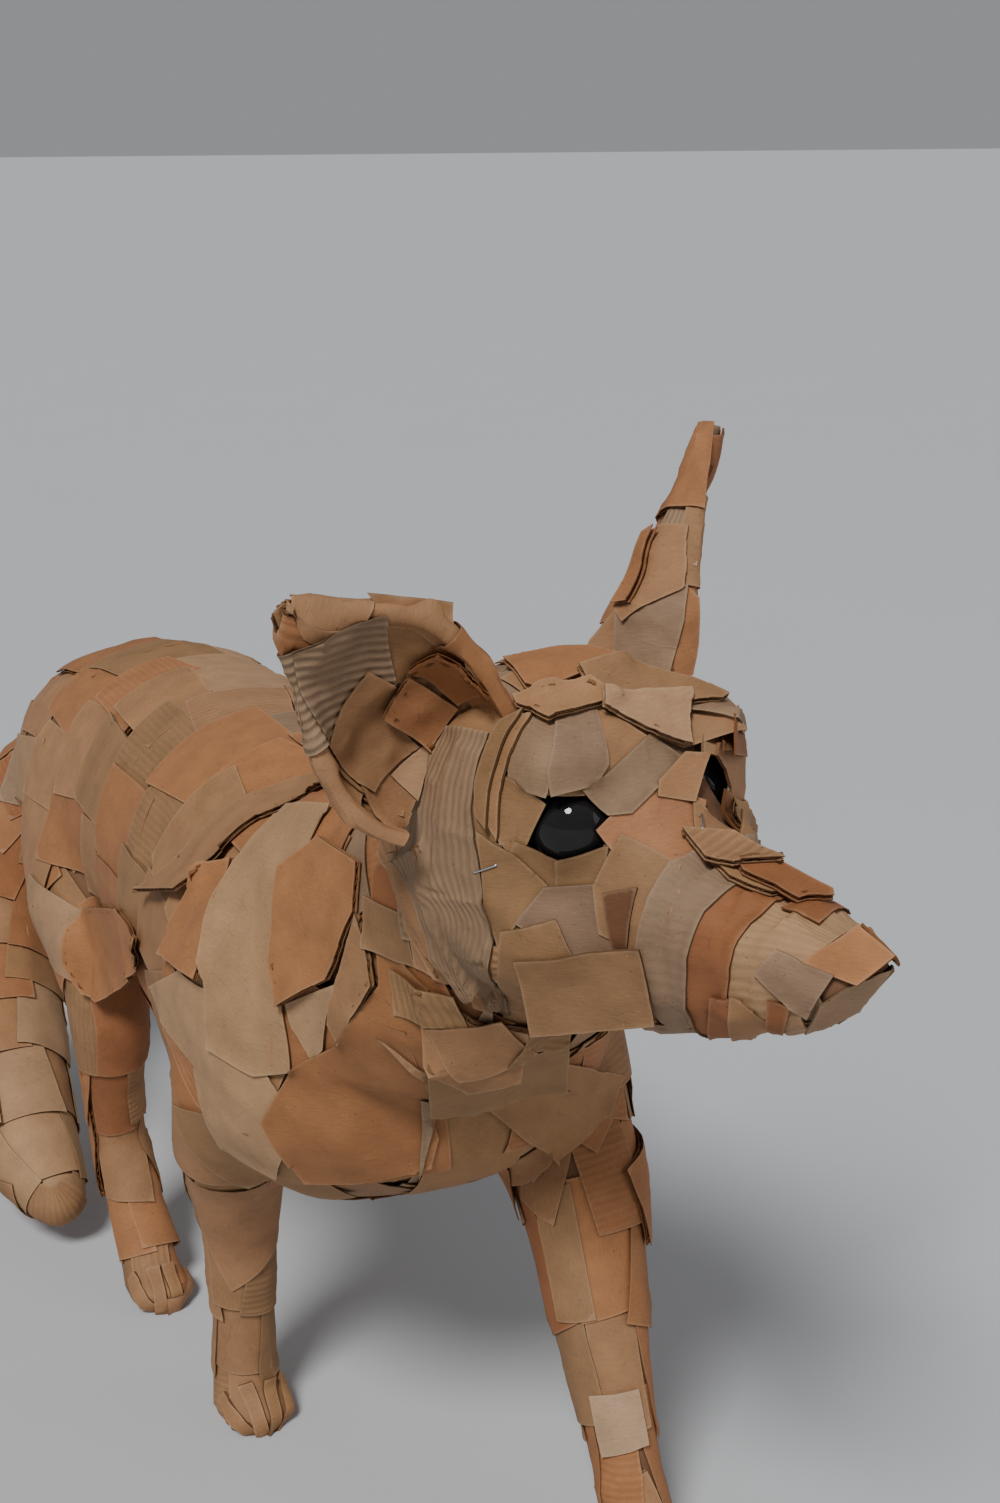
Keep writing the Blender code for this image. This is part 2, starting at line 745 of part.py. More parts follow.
def add_staples(figure):
    frame = head_matrix().to_3x3()
    skin = Skin(figure)
    for name, (left, forward, up, turn) in STAPLES.items():
        place = head_point(left, forward, up)
        _, facing = skin.facing(place, STAPLE_CROWN)
        above = frame @ Vector((0, 0, 1))
        along = (above - facing * above.dot(facing)).normalized()
        along = Matrix.Rotation(math.radians(turn), 3, facing) @ along
        ends = [outer_spot(place + along * side * STAPLE_CROWN / 2, facing) for side in (-1, 1)]
        along = (ends[1] - ends[0]).normalized()
        across = along.cross(facing).normalized()
        outward = across.cross(along)
        middle = (ends[0] + ends[1]) / 2
        heights = []
        for share in PROBE_SHARES:
            for side in (-1, 0, 1):
                probe = middle + along * share * STAPLE_CROWN + across * side * STAPLE_WIRE
                heights.append((outer_spot(probe, outward) - middle).dot(outward))
        middle += outward * (max(heights) + 2 * GLUE_GAP + STAPLE_WIRE / 2)
        turn_matrix = Matrix((along, across, outward)).transposed().to_4x4()
        size = Matrix.Diagonal((STAPLE_CROWN, STAPLE_WIRE, STAPLE_WIRE, 1))
        place_matrix = Matrix.Translation(middle) @ turn_matrix @ size

        def bar(bm):
            bmesh.ops.create_cube(bm, size=1, matrix=place_matrix)

        paint(new_object(name, bar), "staple wire", (0.62, 0.61, 0.60), 0.3)


def paint(obj, name, colour, roughness):
    material = bpy.data.materials.get(name)
    if material is None:
        material = bpy.data.materials.new(name)
        material.use_nodes = True
        shader = material.node_tree.nodes["Principled BSDF"]
        shader.inputs["Base Color"].default_value = (*colour, 1)
        shader.inputs["Roughness"].default_value = roughness
    obj.data.materials.clear()
    obj.data.materials.append(material)


def stand_on_origin():
    """Moves everything so that the origin is under the middle of the figure's box."""
    spots = [vertex.co for obj in bpy.data.objects for vertex in obj.data.vertices]
    lows = [min(spot[axis] for spot in spots) for axis in range(2)]
    highs = [max(spot[axis] for spot in spots) for axis in range(2)]
    step = Vector((-(lows[0] + highs[0]) / 2, -(lows[1] + highs[1]) / 2, 0))
    for obj in bpy.data.objects:
        obj.data.transform(Matrix.Translation(step))
    return step


def main():
    for obj in list(bpy.data.objects):
        bpy.data.objects.remove(obj)
    figure = build_figure()
    add_scraps(figure)
    add_ears(figure)
    add_staples(figure)
    add_eyes(figure)
    shade(figure)
    paint(figure, "card of the figure", (0.30, 0.17, 0.09), 0.9)
    return stand_on_origin()


STEP_TO_ORIGIN = main()
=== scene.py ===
import math
import random

import bmesh
import bpy
import numpy as np
from mathutils import Matrix, Vector, noise
from mathutils.bvhtree import BVHTree


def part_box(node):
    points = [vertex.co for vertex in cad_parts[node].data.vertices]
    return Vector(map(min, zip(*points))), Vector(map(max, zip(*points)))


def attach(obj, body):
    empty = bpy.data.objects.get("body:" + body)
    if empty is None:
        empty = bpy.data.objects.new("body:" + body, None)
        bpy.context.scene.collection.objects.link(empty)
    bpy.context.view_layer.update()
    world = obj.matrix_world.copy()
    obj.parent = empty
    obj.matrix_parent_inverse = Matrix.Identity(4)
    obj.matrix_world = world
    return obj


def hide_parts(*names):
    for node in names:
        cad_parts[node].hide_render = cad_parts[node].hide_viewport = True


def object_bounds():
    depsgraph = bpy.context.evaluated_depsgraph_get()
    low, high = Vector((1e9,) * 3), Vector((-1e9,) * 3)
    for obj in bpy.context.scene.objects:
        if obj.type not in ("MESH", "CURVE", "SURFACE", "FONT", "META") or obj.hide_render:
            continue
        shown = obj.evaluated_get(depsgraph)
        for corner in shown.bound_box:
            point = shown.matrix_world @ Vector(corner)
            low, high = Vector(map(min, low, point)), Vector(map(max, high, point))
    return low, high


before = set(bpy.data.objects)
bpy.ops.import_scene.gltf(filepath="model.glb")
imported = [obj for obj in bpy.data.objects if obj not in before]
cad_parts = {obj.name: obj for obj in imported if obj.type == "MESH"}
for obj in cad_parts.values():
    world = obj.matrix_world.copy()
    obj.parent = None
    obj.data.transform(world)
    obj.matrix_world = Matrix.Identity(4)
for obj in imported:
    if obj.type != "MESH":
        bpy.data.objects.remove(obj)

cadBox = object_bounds()
mm = 0.001


def middleOf(node):
    low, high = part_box(node)
    return (low + high) / 2


def placed(name, data):
    obj = bpy.data.objects.new(name, data)
    bpy.context.scene.collection.objects.link(obj)
    return obj


def meshOf(bm, name):
    mesh = bpy.data.meshes.new(name)
    bm.to_mesh(mesh)
    bm.free()
    return mesh


# The head's own axes, with the origin between the eyes, and the step from the part's tables
headPose = {"turn": 16, "roll": -3, "tableCentre": (10, 10, 381), "eyesFromOrigin": (0, 3, 1)}
headTurn = (Matrix.Rotation(math.radians(headPose["turn"]), 3, "Z")
            @ Matrix.Rotation(math.radians(headPose["roll"]), 3, "Y"))
eyeMiddle = (middleOf("eye_right") + middleOf("eye_left")) / 2
headOrigin = eyeMiddle - headTurn @ (Vector(headPose["eyesFromOrigin"]) * mm)
tableStep = headOrigin - Vector(headPose["tableCentre"]) * mm


def headPoint(left, forward, up):
    return headOrigin + headTurn @ (Vector((left, -forward, up)) * mm)


def bodyPoint(x, y, z):
    return Vector((x, y, z)) * mm + tableStep


# The camera, at the photograph's angle
view = {"place": (-0.3024, -0.8616, 0.600), "azimuth": 26, "downward": 17, "lens": 50, "sensor": 36,
        "imageWide": 1000, "imageHigh": 1503, "nearest": 0.05}
azimuth, downward = math.radians(view["azimuth"]), math.radians(view["downward"])
cameraPlace = Vector(view["place"])
cameraRight = Vector((math.cos(azimuth), -math.sin(azimuth), 0))
cameraAhead = Vector((math.sin(azimuth) * math.cos(downward), math.cos(azimuth) * math.cos(downward),
                      -math.sin(downward)))
cameraUp = cameraRight.cross(cameraAhead)
pixelsPerUnit = view["lens"] / view["sensor"] * view["imageHigh"]

camera = placed("camera", bpy.data.cameras.new("camera"))
camera.data.lens = view["lens"]
camera.data.sensor_width = view["sensor"]
camera.data.clip_start = view["nearest"]
camera.matrix_world = Matrix.Translation(cameraPlace) @ Matrix(
    (cameraRight, cameraUp, -cameraAhead)).transposed().to_4x4()
bpy.context.scene.camera = camera


def sightLine(across, down):
    aside = (across - view["imageWide"] / 2) / pixelsPerUnit
    above = -(down - view["imageHigh"] / 2) / pixelsPerUnit
    return (cameraAhead + cameraRight * aside + cameraUp * above).normalized()


# Colours of card, as they look in even light
def shade(red, green, blue):
    def linear(value):
        value /= 255
        return value / 12.92 if value <= 0.04045 else ((value + 0.055) / 1.055) ** 2.4
    return (linear(red), linear(green), linear(blue))


cardShades = {
    "greyTan": shade(137, 110, 85),
    "orange": shade(150, 101, 64),
    "lightTan": shade(160, 125, 91),
    "darkBrown": shade(98, 64, 42),
    "greyBrown": shade(124, 98, 76),
    "tan": shade(147, 108, 74),
    "sand": shade(136, 102, 69),
    "pale": shade(168, 138, 108),
    "rust": shade(137, 87, 53),
    "pink": shade(162, 110, 74),
}


# Card as it is laid: what every sheet starts from
paper = {"step": 0.0022, "thick": 0.0005, "board": False, "shade": "tan", "ridge": 0.0, "crinkle": 0.00018,
         "curl": 0.0004, "stiff": 14, "lift": (0, 0, 0), "seed": 0, "grain": 0, "flat": 0.7, "grow": 0.0008}
boardOf = {"thick": 0.0024, "liner": 0.00045, "pitch": 0.0058, "stiff": 26, "crinkle": 0.00008,
           "curl": 0.0001, "flat": 0.95, "fluteInset": 0.0004, "fluteStep": 0.0011}


def card(**changes):
    look = dict(paper)
    if changes.get("board"):
        look.update((key, boardOf[key]) for key in ("thick", "stiff", "crinkle", "curl", "flat"))
    look.update(changes)
    return look


# The rounded form that the card is glued to
form = {"cell": 0.003, "smoothing": 5, "inset": 0.0013, "eyeRoom": 0.0172, "floorBand": 0.002,
        "snoutTrim": 0.0016, "merge": 1e-5}


def roundedForm(name, withEyes):
    bm = bmesh.new()
    bm.from_mesh(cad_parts["figure"].data)
    bmesh.ops.remove_doubles(bm, verts=bm.verts, dist=form["merge"])
    if withEyes:
        for eye in ("eye_right", "eye_left"):
            bmesh.ops.create_uvsphere(bm, u_segments=32, v_segments=20, radius=form["eyeRoom"],
                                      matrix=Matrix.Translation(middleOf(eye)))
    obj = placed(name, meshOf(bm, name))
    remesh = obj.modifiers.new("remesh", "REMESH")
    remesh.mode = "VOXEL"
    remesh.voxel_size = form["cell"]
    smooth = obj.modifiers.new("smooth", "SMOOTH")
    smooth.factor = 0.5
    smooth.iterations = form["smoothing"]
    asMesh(obj)
    for vertex, way in zip(obj.data.vertices, [v.normal.copy() for v in obj.data.vertices]):
        if vertex.co.z > form["floorBand"]:
            vertex.co -= way * form["inset"]
        vertex.co.z = max(vertex.co.z, 0)
    return obj


def asMesh(obj):
    graph = bpy.context.evaluated_depsgraph_get()
    mesh = bpy.data.meshes.new_from_object(obj.evaluated_get(graph))
    obj.modifiers.clear()
    obj.data = mesh
    return obj


# What cards are laid on: a surface that is asked for its nearest point, or for a point along a line
class Ground:
    def __init__(self, points, corners):
        self.corners = corners
        ways = [Vector() for _ in points]
        for face in corners:
            a, b, c = (points[face[i]] for i in (0, 1, 2))
            way = (b - a).cross(c - a)
            for corner in face:
                ways[corner] += way
        self.ways = [way.normalized() for way in ways]
        self.tree = BVHTree.FromPolygons(points, corners)

    def wayAt(self, index):
        return sum((self.ways[corner] for corner in self.corners[index]), Vector()).normalized()

    def nearest(self, spot):
        found, _, index, _ = self.tree.find_nearest(spot)
        return found, self.wayAt(index)

    def along(self, start, way, reach=2.0):
        found, _, index, _ = self.tree.ray_cast(start, way, reach)
        return (found, self.wayAt(index)) if found else (None, None)

    # The spot that a pixel of the photograph looks at, or the nearest one beside the outline
    def seen(self, pixel):
        line = sightLine(*pixel)
        found, way = self.along(cameraPlace, line)
        if found:
            return found, way
        spot = cameraPlace + line * 0.7
        for _ in range(6):
            found, way = self.nearest(spot)
            spot = cameraPlace + line * (found - cameraPlace).dot(line)
        return spot, way


def groundOf(obj):
    return Ground([v.co.copy() for v in obj.data.vertices], [tuple(p.vertices) for p in obj.data.polygons])


# The folded cap at the nose: corners left, forward and up from between the eyes
cap = {
    "sideBack": (15, 84, -26.5), "ridgeBack": (1, 92, -16.5), "tip": (0.5, 106.2, -21.5),
    "sideFront": (9, 100, -30), "underTip": (0, 104.2, -25.5), "frontLow": (0.5, 92, -43.5),
    "sideLow": (11.5, 82, -51), "sideMiddle": (13.5, 88, -36),
}
capInside, capBack = (0, 80, -32), 74  # a spot inside the cap, and how far ahead it starts
capMiddle = 2  # corners nearer the middle than this aren't mirrored


# The corners of one flat face of the cap, and the way it faces
def capFacet(names, side):
    spots = [headPoint(left * (side if left > capMiddle else 1), forward, up)
             for left, forward, up in (cap[name] for name in names)]
    facing = sum(((a - spots[0]).cross(b - spots[0]) for a, b in zip(spots, spots[1:] + spots[:1])), Vector())
    facing.normalize()
    return spots, facing if facing.dot(spots[0] - headPoint(*capInside)) > 0 else -facing


# Cuts the form back under the cap's lower faces
def trimSnout(obj):
    cuts = [capFacet(("sideFront", "underTip", "frontLow", "sideLow"), side) for side in (-1, 1)]
    start, ahead = headPoint(0, capBack, 0), headTurn @ Vector((0, -1, 0))
    for vertex in obj.data.vertices:
        if (vertex.co - start).dot(ahead) > 0:
            for spots, facing in cuts:
                over = (vertex.co - spots[0]).dot(facing) + form["snoutTrim"]
                if over > 0:
                    vertex.co -= facing * over


underSkin = roundedForm("underSkin", False)
draping = roundedForm("draping", True)
trimSnout(underSkin)
trimSnout(draping)
bodyGround = groundOf(draping)
bpy.data.objects.remove(draping)
print("form ready:", len(underSkin.data.polygons), "faces")


edgeRoom = 0.0025  # how near the box's sides points begin to be held back


# Holds points inside the solids' box: softly at its sides, so that layers stay apart, and flat on the floor
def insideBox(places):
    places = np.array(places, float).reshape(-1, 3)
    for axis, sides in enumerate(((1, -1), (1, -1), (1,))):
        for side in sides:
            limit = side * cadBox[(side + 1) // 2][axis] - edgeRoom
            over = np.maximum(side * places[:, axis] - limit, 0)
            held = side * (limit + edgeRoom * (1 - np.exp(-over / edgeRoom)))
            places[:, axis] = np.where(over > 0, held, places[:, axis])
    places[:, 2] = np.maximum(places[:, 2], 0)
    return places


foldAngle = 38  # edges sharper than this stay crisp


def addValues(mesh, name, values, kind="FLOAT", field="value"):
    mesh.attributes.new(name, kind, "POINT").data.foreach_set(field, np.array(values, np.float32).ravel())


# A named piece that gathers cards
class Pile:
    def __init__(self, name):
        self.name = name
        self.points, self.faces, self.uvs, self.kinds = [], [], [], []
        self.tints, self.rims, self.ridges = [], [], []
        self.fluteEnds, self.fluteInfo = [], []

    def put(self, points, faces, uvs, kind, tint, rims, ridge):
        first = len(self.points)
        self.points += points
        self.faces += [tuple(first + i for i in face) for face in faces]
        self.uvs += uvs
        self.kinds += kind
        self.tints += [tint] * len(points)
        self.rims += rims
        self.ridges += [ridge] * len(points)

    def build(self, materials):
        mesh = bpy.data.meshes.new(self.name)
        places = insideBox([tuple(p) for p in self.points])
        mesh.from_pydata(places.tolist(), [], self.faces)
        layer = mesh.uv_layers.new(name="cardUV")
        layer.data.foreach_set("uv", np.array(self.uvs, np.float32).ravel())
        addValues(mesh, "tint", [(*tint, 1) for tint in self.tints], "FLOAT_COLOR", "color")
        addValues(mesh, "rim", self.rims)
        addValues(mesh, "ridge", self.ridges)
        mesh.polygons.foreach_set("material_index", self.kinds)
        for material in materials:
            mesh.materials.append(material)
        mesh.shade_smooth()
        mesh.set_sharp_from_angle(angle=math.radians(foldAngle))
        return placed(self.name, mesh)


laid = []  # every card so far: its tree, its middle, how far it reaches and the piece it belongs to


# The cards near a spot. An ear's cards lie only on each other
def cardsUnder(pile, middle, reach):
    alone = pile.name.startswith("ear")
    return [tree for tree, at, far, owner in laid
            if (owner == pile.name or not alone) and np.linalg.norm(at - middle) < reach + far]


# A flat sheet with this outline, divided into squares of about this step
def cutSheet(outline, step):
    if sum(a[0] * b[1] - b[0] * a[1] for a, b in zip(outline, outline[1:] + outline[:1])) < 0:
        outline = outline[::-1]
    bm = bmesh.new()
    bm.faces.new([bm.verts.new((u, v, 0)) for u, v in outline])
    for axis in (0, 1):
        low, high = min(p[axis] for p in outline), max(p[axis] for p in outline)
        count = max(int((high - low) / step), 2)
        for i in range(1, count):
            at, way = [0, 0, 0], [0, 0, 0]
            at[axis], way[axis] = low + (high - low) * i / count, 1
            everything = bm.verts[:] + bm.edges[:] + bm.faces[:]
            bmesh.ops.bisect_plane(bm, geom=everything, dist=1e-6, plane_co=at, plane_no=way)
    bmesh.ops.remove_doubles(bm, verts=bm.verts, dist=step / 50)
    bm.verts.ensure_lookup_table()
    bm.verts.index_update()
    flat = [(v.co.x, v.co.y) for v in bm.verts]
    faces = [tuple(v.index for v in f.verts) for f in bm.faces if f.calc_area() > 1e-10]
    bm.free()
    return flat, faces, outline


# The squares of a sheet in plain rows, for ribbons and bands
def rowFaces(rows, wide):
    return [(i * wide + j, i * wide + j + 1, (i + 1) * wide + j + 1, (i + 1) * wide + j)
            for i in range(rows) for j in range(wide - 1)]


# Turns all faces over where one of them looks away from the sheet's way out
def turnedOut(faces, spots, ways, index):
    a, b, c = (Vector(spots[corner]) for corner in faces[index][:3])
    return [face[::-1] for face in faces] if (b - a).cross(c - a).dot(ways[faces[index][0]]) < 0 else faces


def rimDistances(flat, outline):
    points = np.array(flat)
    best = np.full(len(points), 1.0)
    for a, b in zip(outline, outline[1:] + outline[:1]):
        a, b = np.array(a), np.array(b)
        side = b - a
        share = np.clip(((points - a) @ side) / max(side @ side, 1e-12), 0, 1)
        best = np.minimum(best, np.linalg.norm(points - (a + share[:, None] * side), axis=1))
    return best


def neighbours(count, faces):
    near = [set() for _ in range(count)]
    for face in faces:
        for a, b in zip(face, face[1:] + face[:1]):
            near[a].add(b)
            near[b].add(a)
    return [sorted(n) for n in near]


def averaged(values, near, rounds, share=0.5):
    for _ in range(rounds):
        values = np.array([v if not n else v * (1 - share) + values[n].mean(axis=0) * share
                           for v, n in zip(values, near)])
    return values


# How far above and below its place a sheet looks for others, its gap over them, and its unevenness
laying = {"beside": 0.004, "top": 0.016, "below": 0.002, "gap": 0.00012, "liftCurve": 2.2, "creases": 95,
          "swell": 55, "waves": 18, "looseRim": 0.007}


# Lays one sheet over whatever is already there, and gives it its thickness
def lay(pile, flat, faces, rims, spots, ways, look):
    rng = random.Random(look["seed"])
    near = neighbours(len(flat), faces)
    spots = np.array([tuple(s) for s in spots])
    ways = averaged(np.array([tuple(w) for w in ways]), near, 3)
    ways /= np.maximum(np.linalg.norm(ways, axis=1)[:, None], 1e-9)
    middle = spots.mean(axis=0)
    reach = np.linalg.norm(spots - middle, axis=1).max()
    under = cardsUnder(pile, middle, reach + laying["beside"])
    top = laying["top"]
    support = np.zeros(len(flat))
    for i, (spot, way) in enumerate(zip(spots, ways)):
        spot, way = Vector(spot), Vector(way)
        start = spot + way * top
        for tree in under:
            hit = tree.ray_cast(start, -way, top + laying["below"])
            if hit[0] is not None:
                support[i] = max(support[i], top - hit[3])
    support = support + laying["gap"]
    height = support.copy()
    for _ in range(look["stiff"]):
        height = np.maximum(support, averaged(height, near, 1, 0.6))
    twist = Vector([rng.uniform(-9, 9) for _ in range(3)])
    liftU, liftV, liftBy = look["lift"]
    places = np.array(flat)
    if liftBy:
        aim = places @ np.array((liftU, liftV))
        share = (aim - aim.min()) / max(aim.max() - aim.min(), 1e-9)
        height += liftBy * share ** laying["liftCurve"]
    for i, (u, v) in enumerate(flat):
        at = Vector((u, v, 0))
        creased = 1 - abs(noise.noise(at * laying["creases"] + twist))
        swell = noise.noise(at * laying["swell"] + twist * 2)
        height[i] += look["crinkle"] * (0.9 * swell + 1.2 * max(creased - 0.78, 0) * 4)
        loose = max(0, 1 - rims[i] / laying["looseRim"])
        wavy = 0.7 + 0.5 * noise.noise(at * laying["waves"] + twist * 3)
        height[i] += look["curl"] * loose * loose * wavy
    height = np.maximum(height, support)
    thick = look["thick"]
    topPoints = spots + ways * (height + thick)[:, None]
    laid.append((BVHTree.FromPolygons(topPoints.tolist(), faces), middle, reach + thick, pile.name))

    edges = {}
    for face in faces:
        for a, b in zip(face, face[1:] + face[:1]):
            edges[(a, b)] = 1
    rimEdges = [(a, b) for a, b in edges if (b, a) not in edges]
    colour = np.array(cardShades[look["shade"]] if isinstance(look["shade"], str) else look["shade"])
    tint = colour * rng.uniform(0.9, 1.08) * np.array((rng.uniform(0.98, 1.02), 1, rng.uniform(0.96, 1.04)))
    turn = look["grain"] + rng.uniform(-0.05, 0.05)
    shift = (rng.uniform(0, 3), rng.uniform(0, 3))
    cos, sin = math.cos(turn), math.sin(turn)
    uvAt = [(cos * u - sin * v + shift[0], sin * u + cos * v + shift[1]) for u, v in flat]

    def sheetAt(low, high):
        count = len(flat)
        lower = (spots + ways * (height + low)[:, None]).tolist()
        upper = (spots + ways * (height + high)[:, None]).tolist()
        allFaces = [tuple(count + i for i in face) for face in faces] + [face[::-1] for face in faces]
        uvs = [uvAt[i] for face in faces for i in face] + [uvAt[i] for face in faces for i in face[::-1]]
        kinds = [0] * (2 * len(faces))
        for a, b in rimEdges:
            allFaces.append((a, b, count + b, count + a))
            uvs += [uvAt[a], uvAt[b], uvAt[b], uvAt[a]]
            kinds.append(1)
        pile.put(lower + upper, allFaces, uvs, kinds, tuple(tint), rims.tolist() * 2, look["ridge"])

    if not look["board"]:
        sheetAt(0, thick)
        return
    liner = boardOf["liner"]
    sheetAt(0, liner)
    sheetAt(thick - liner, thick)
    middleHeight = spots + ways * (height + thick / 2)[:, None]
    for a, b in rimEdges:
        start, end = Vector(middleHeight[a]), Vector(middleHeight[b])
        length = (end - start).length
        if length < 1e-6:
            continue
        rise = (Vector(ways[a]) + Vector(ways[b])).normalized()
        inward = rise.cross((end - start) / length)
        pieces = max(int(length / boardOf["fluteStep"]), 1)
        first, last = uvAt[a][1] / boardOf["pitch"], uvAt[b][1] / boardOf["pitch"]
        for i in range(pieces + 1):
            share = i / pieces
            pile.fluteEnds.append(start.lerp(end, share) + inward * boardOf["fluteInset"])
            pile.fluteInfo.append((rise, inward, first + (last - first) * share, i > 0, tuple(tint)))


# The outline, moved outward on every side
def grown(outline, by):
    centre = np.mean(outline, axis=0)
    out = []
    for corner in outline:
        way = np.array(corner) - centre
        out.append(tuple(np.array(corner) + way / max(np.linalg.norm(way), 1e-9) * by))
    return out


# How a cut card follows what it lies on
bending = {"mostClear": 0.0022, "above": 0.022, "reach": 0.05, "steepest": 0.15}


# How a stiff sheet lies: a plane or one even curve through what it lies on, clear of its high points
def stiffened(flat, depths, share, board):
    u, v = np.array(flat).T
    terms = [np.ones_like(u), u, v] if board or len(u) < 12 else [np.ones_like(u), u, v, u * u, u * v, v * v]
    basis = np.stack(terms, axis=1)
    fitted = basis @ np.linalg.lstsq(basis, depths, rcond=None)[0]
    clear = min(np.max(depths - fitted) * 0.8, bending["mostClear"])
    return np.maximum(depths * (1 - share) + (fitted + clear) * share, depths)


# A flat-cut card whose corners are given in space; with a facing of its own it isn't bent at all
def layPatch(pile, corners, look, ground, facing=None):
    rigid = facing is not None
    middle = sum(corners, Vector()) / len(corners)
    if not rigid:
        facing = sum((ground.nearest(corner)[1] for corner in corners), ground.nearest(middle)[1].copy())
        facing.normalize()
    upward = headTurn @ Vector((0, 0, 1)) if abs(facing.z) < 0.8 else headTurn @ Vector((0, 1, 0))
    along = (upward - facing * upward.dot(facing)).normalized()
    across = along.cross(facing)
    outline = grown([((c - middle).dot(across), (c - middle).dot(along)) for c in corners], look["grow"])
    flat, faces, outline = cutSheet(outline, look["step"])
    spots, ways, depths = [], [], []
    for u, v in flat:
        spot = middle + across * u + along * v
        if rigid:
            depth, way = 0.0, facing
        else:
            found, way = ground.along(spot + facing * bending["above"], -facing, bending["reach"])
            if found is None or way.dot(facing) < bending["steepest"]:
                found, way = ground.nearest(spot)[0], facing
            depth = (found - spot).dot(facing)
        spots.append(spot)
        ways.append(way)
        depths.append(depth)
    if not rigid:
        near = neighbours(len(flat), faces)
        depths = averaged(np.array(depths), near, 2)
        bent = stiffened(flat, depths, look["flat"], look["board"])
        bent = np.maximum(averaged(bent, near, 2), depths)
        spots = [spot + facing * float(depth) for spot, depth in zip(spots, bent)]
        ways = [(way * (1 - look["flat"]) + facing * look["flat"]).normalized() for way in ways]
    if look.get("liftToward"):
        aside, down, by = look["liftToward"]
        toward = cameraRight * aside - cameraUp * down
        look = dict(look, lift=(toward.dot(across), toward.dot(along), by))
    lay(pile, flat, faces, rimDistances(flat, outline), spots, ways, look)


def mirrored(spot):
    local = headTurn.transposed() @ (spot - headOrigin)
    local.x = -local.x
    return headOrigin + headTurn @ local


# Points along a smooth curve through the given ones
def smoothPath(points, count):
    points = [Vector(p) for p in points]
    lengths = [0]
    for a, b in zip(points, points[1:]):
        lengths.append(lengths[-1] + (b - a).length)
    padded = [points[0] * 2 - points[1]] + points + [points[-1] * 2 - points[-2]]
    out = []
    for k in range(count):
        at = lengths[-1] * k / (count - 1)
        i = max(j for j in range(len(points) - 1) if lengths[j] <= at + 1e-9)
        t = (at - lengths[i]) / max(lengths[i + 1] - lengths[i], 1e-9)
        a, b, c, d = padded[i:i + 4]
        out.append(0.5 * ((2 * b) + (c - a) * t + (2 * a - 5 * b + 4 * c - d) * t * t
                          + (3 * b - a - 3 * c + d) * t ** 3))
    return out


# A strip between two edges given in space, each settled onto the ground
def layRibbon(pile, leftEdge, rightEdge, look):
    length = sum((b - a).length for a, b in zip(leftEdge, leftEdge[1:]))
    width = max((a - b).length for a, b in zip(leftEdge, rightEdge))
    rows, columns = max(int(length / look["step"]), 3), max(int(width / look["step"]), 3)
    left, right = smoothPath(leftEdge, rows + 1), smoothPath(rightEdge, rows + 1)
    flat = [(width * j / columns, length * i / rows) for i in range(rows + 1) for j in range(columns + 1)]
    faces = rowFaces(rows, columns + 1)
    spots, ways = zip(*(bodyGround.nearest(a.lerp(b, j / columns))
                        for a, b in zip(left, right) for j in range(columns + 1)))
    mean = sum(ways, Vector())
    if (spots[1] - spots[0]).cross(spots[columns + 1] - spots[0]).dot(mean) < 0:
        faces = [face[::-1] for face in faces]
    near = neighbours(len(flat), faces)
    spots = [Vector(s) for s in averaged(np.array([tuple(s) for s in spots]), near, 2, 0.5)]
    outline = [(0, 0), (width, 0), (width, length), (0, length)]
    lay(pile, flat, faces, rimDistances(flat, outline), spots, ways, look)


leastWalk = 0.003  # the shortest step that a wrapped card is walked by


# Walks over the ground from a spot, so that a sheet wraps round without stretching
def wrapPlacer(spot, along, halfWide, halfLong, step):
    rows, columns = math.ceil(halfLong / step) + 1, math.ceil(halfWide / step) + 1

    def walk(start, heading, count):
        out = []
        for _ in range(count):
            start, way = bodyGround.nearest(start + heading * step)
            heading = (heading - way * heading.dot(way)).normalized()
            out.append((start, way, heading))
        return out

    spot, way = bodyGround.nearest(spot)
    along = (along - way * along.dot(way)).normalized()
    back = [(s, w, -h) for s, w, h in walk(spot, -along, rows)][::-1]
    spine = back + [(spot, way, along)] + walk(spot, along, rows)
    places, ways = [], []
    for at, way, heading in spine:
        across = heading.cross(way).normalized()
        left = [(s, w) for s, w, _ in walk(at, -across, columns)][::-1]
        row = left + [(at, way)] + [(s, w) for s, w, _ in walk(at, across, columns)]
        places.append([tuple(s) for s, _ in row])
        ways.append([tuple(w) for _, w in row])
    places, ways = np.array(places), np.array(ways)

    def place(u, v):
        x = min(max(u / step + columns, 0), 2 * columns - 1e-6)
        y = min(max(v / step + rows, 0), 2 * rows - 1e-6)
        j, i = int(x), int(y)
        x, y = x - j, y - i
        corners = (((1 - x) * (1 - y), i, j), (x * (1 - y), i, j + 1),
                   ((1 - x) * y, i + 1, j), (x * y, i + 1, j + 1))
        return (Vector(sum(w * places[a, b] for w, a, b in corners)),
                Vector(sum(w * ways[a, b] for w, a, b in corners)))

    return place


# A card laid from its middle outward, wrapping round whatever it lies on
def layWrap(pile, spot, along, outline, look):
    halfWide, halfLong = max(abs(p[0]) for p in outline), max(abs(p[1]) for p in outline)
    place = wrapPlacer(spot, along, halfWide, halfLong, max(look["step"], leastWalk))
    flat, faces, outline = cutSheet(outline, look["step"])
    spots, ways = zip(*(place(u, v) for u, v in flat))
    lay(pile, flat, faces, rimDistances(flat, outline), spots, ways, look)


# Four corners of a card cut by hand
def handCut(rng, wide, long, taper, wobble):
    corners = ((-wide / 2, -long / 2), (wide / 2, -long / 2),
               (wide / 2 * taper, long / 2), (-wide / 2 * taper, long / 2))
    return [(u + rng.uniform(-wobble, wobble) * wide, v + rng.uniform(-wobble, wobble) * long)
            for u, v in corners]


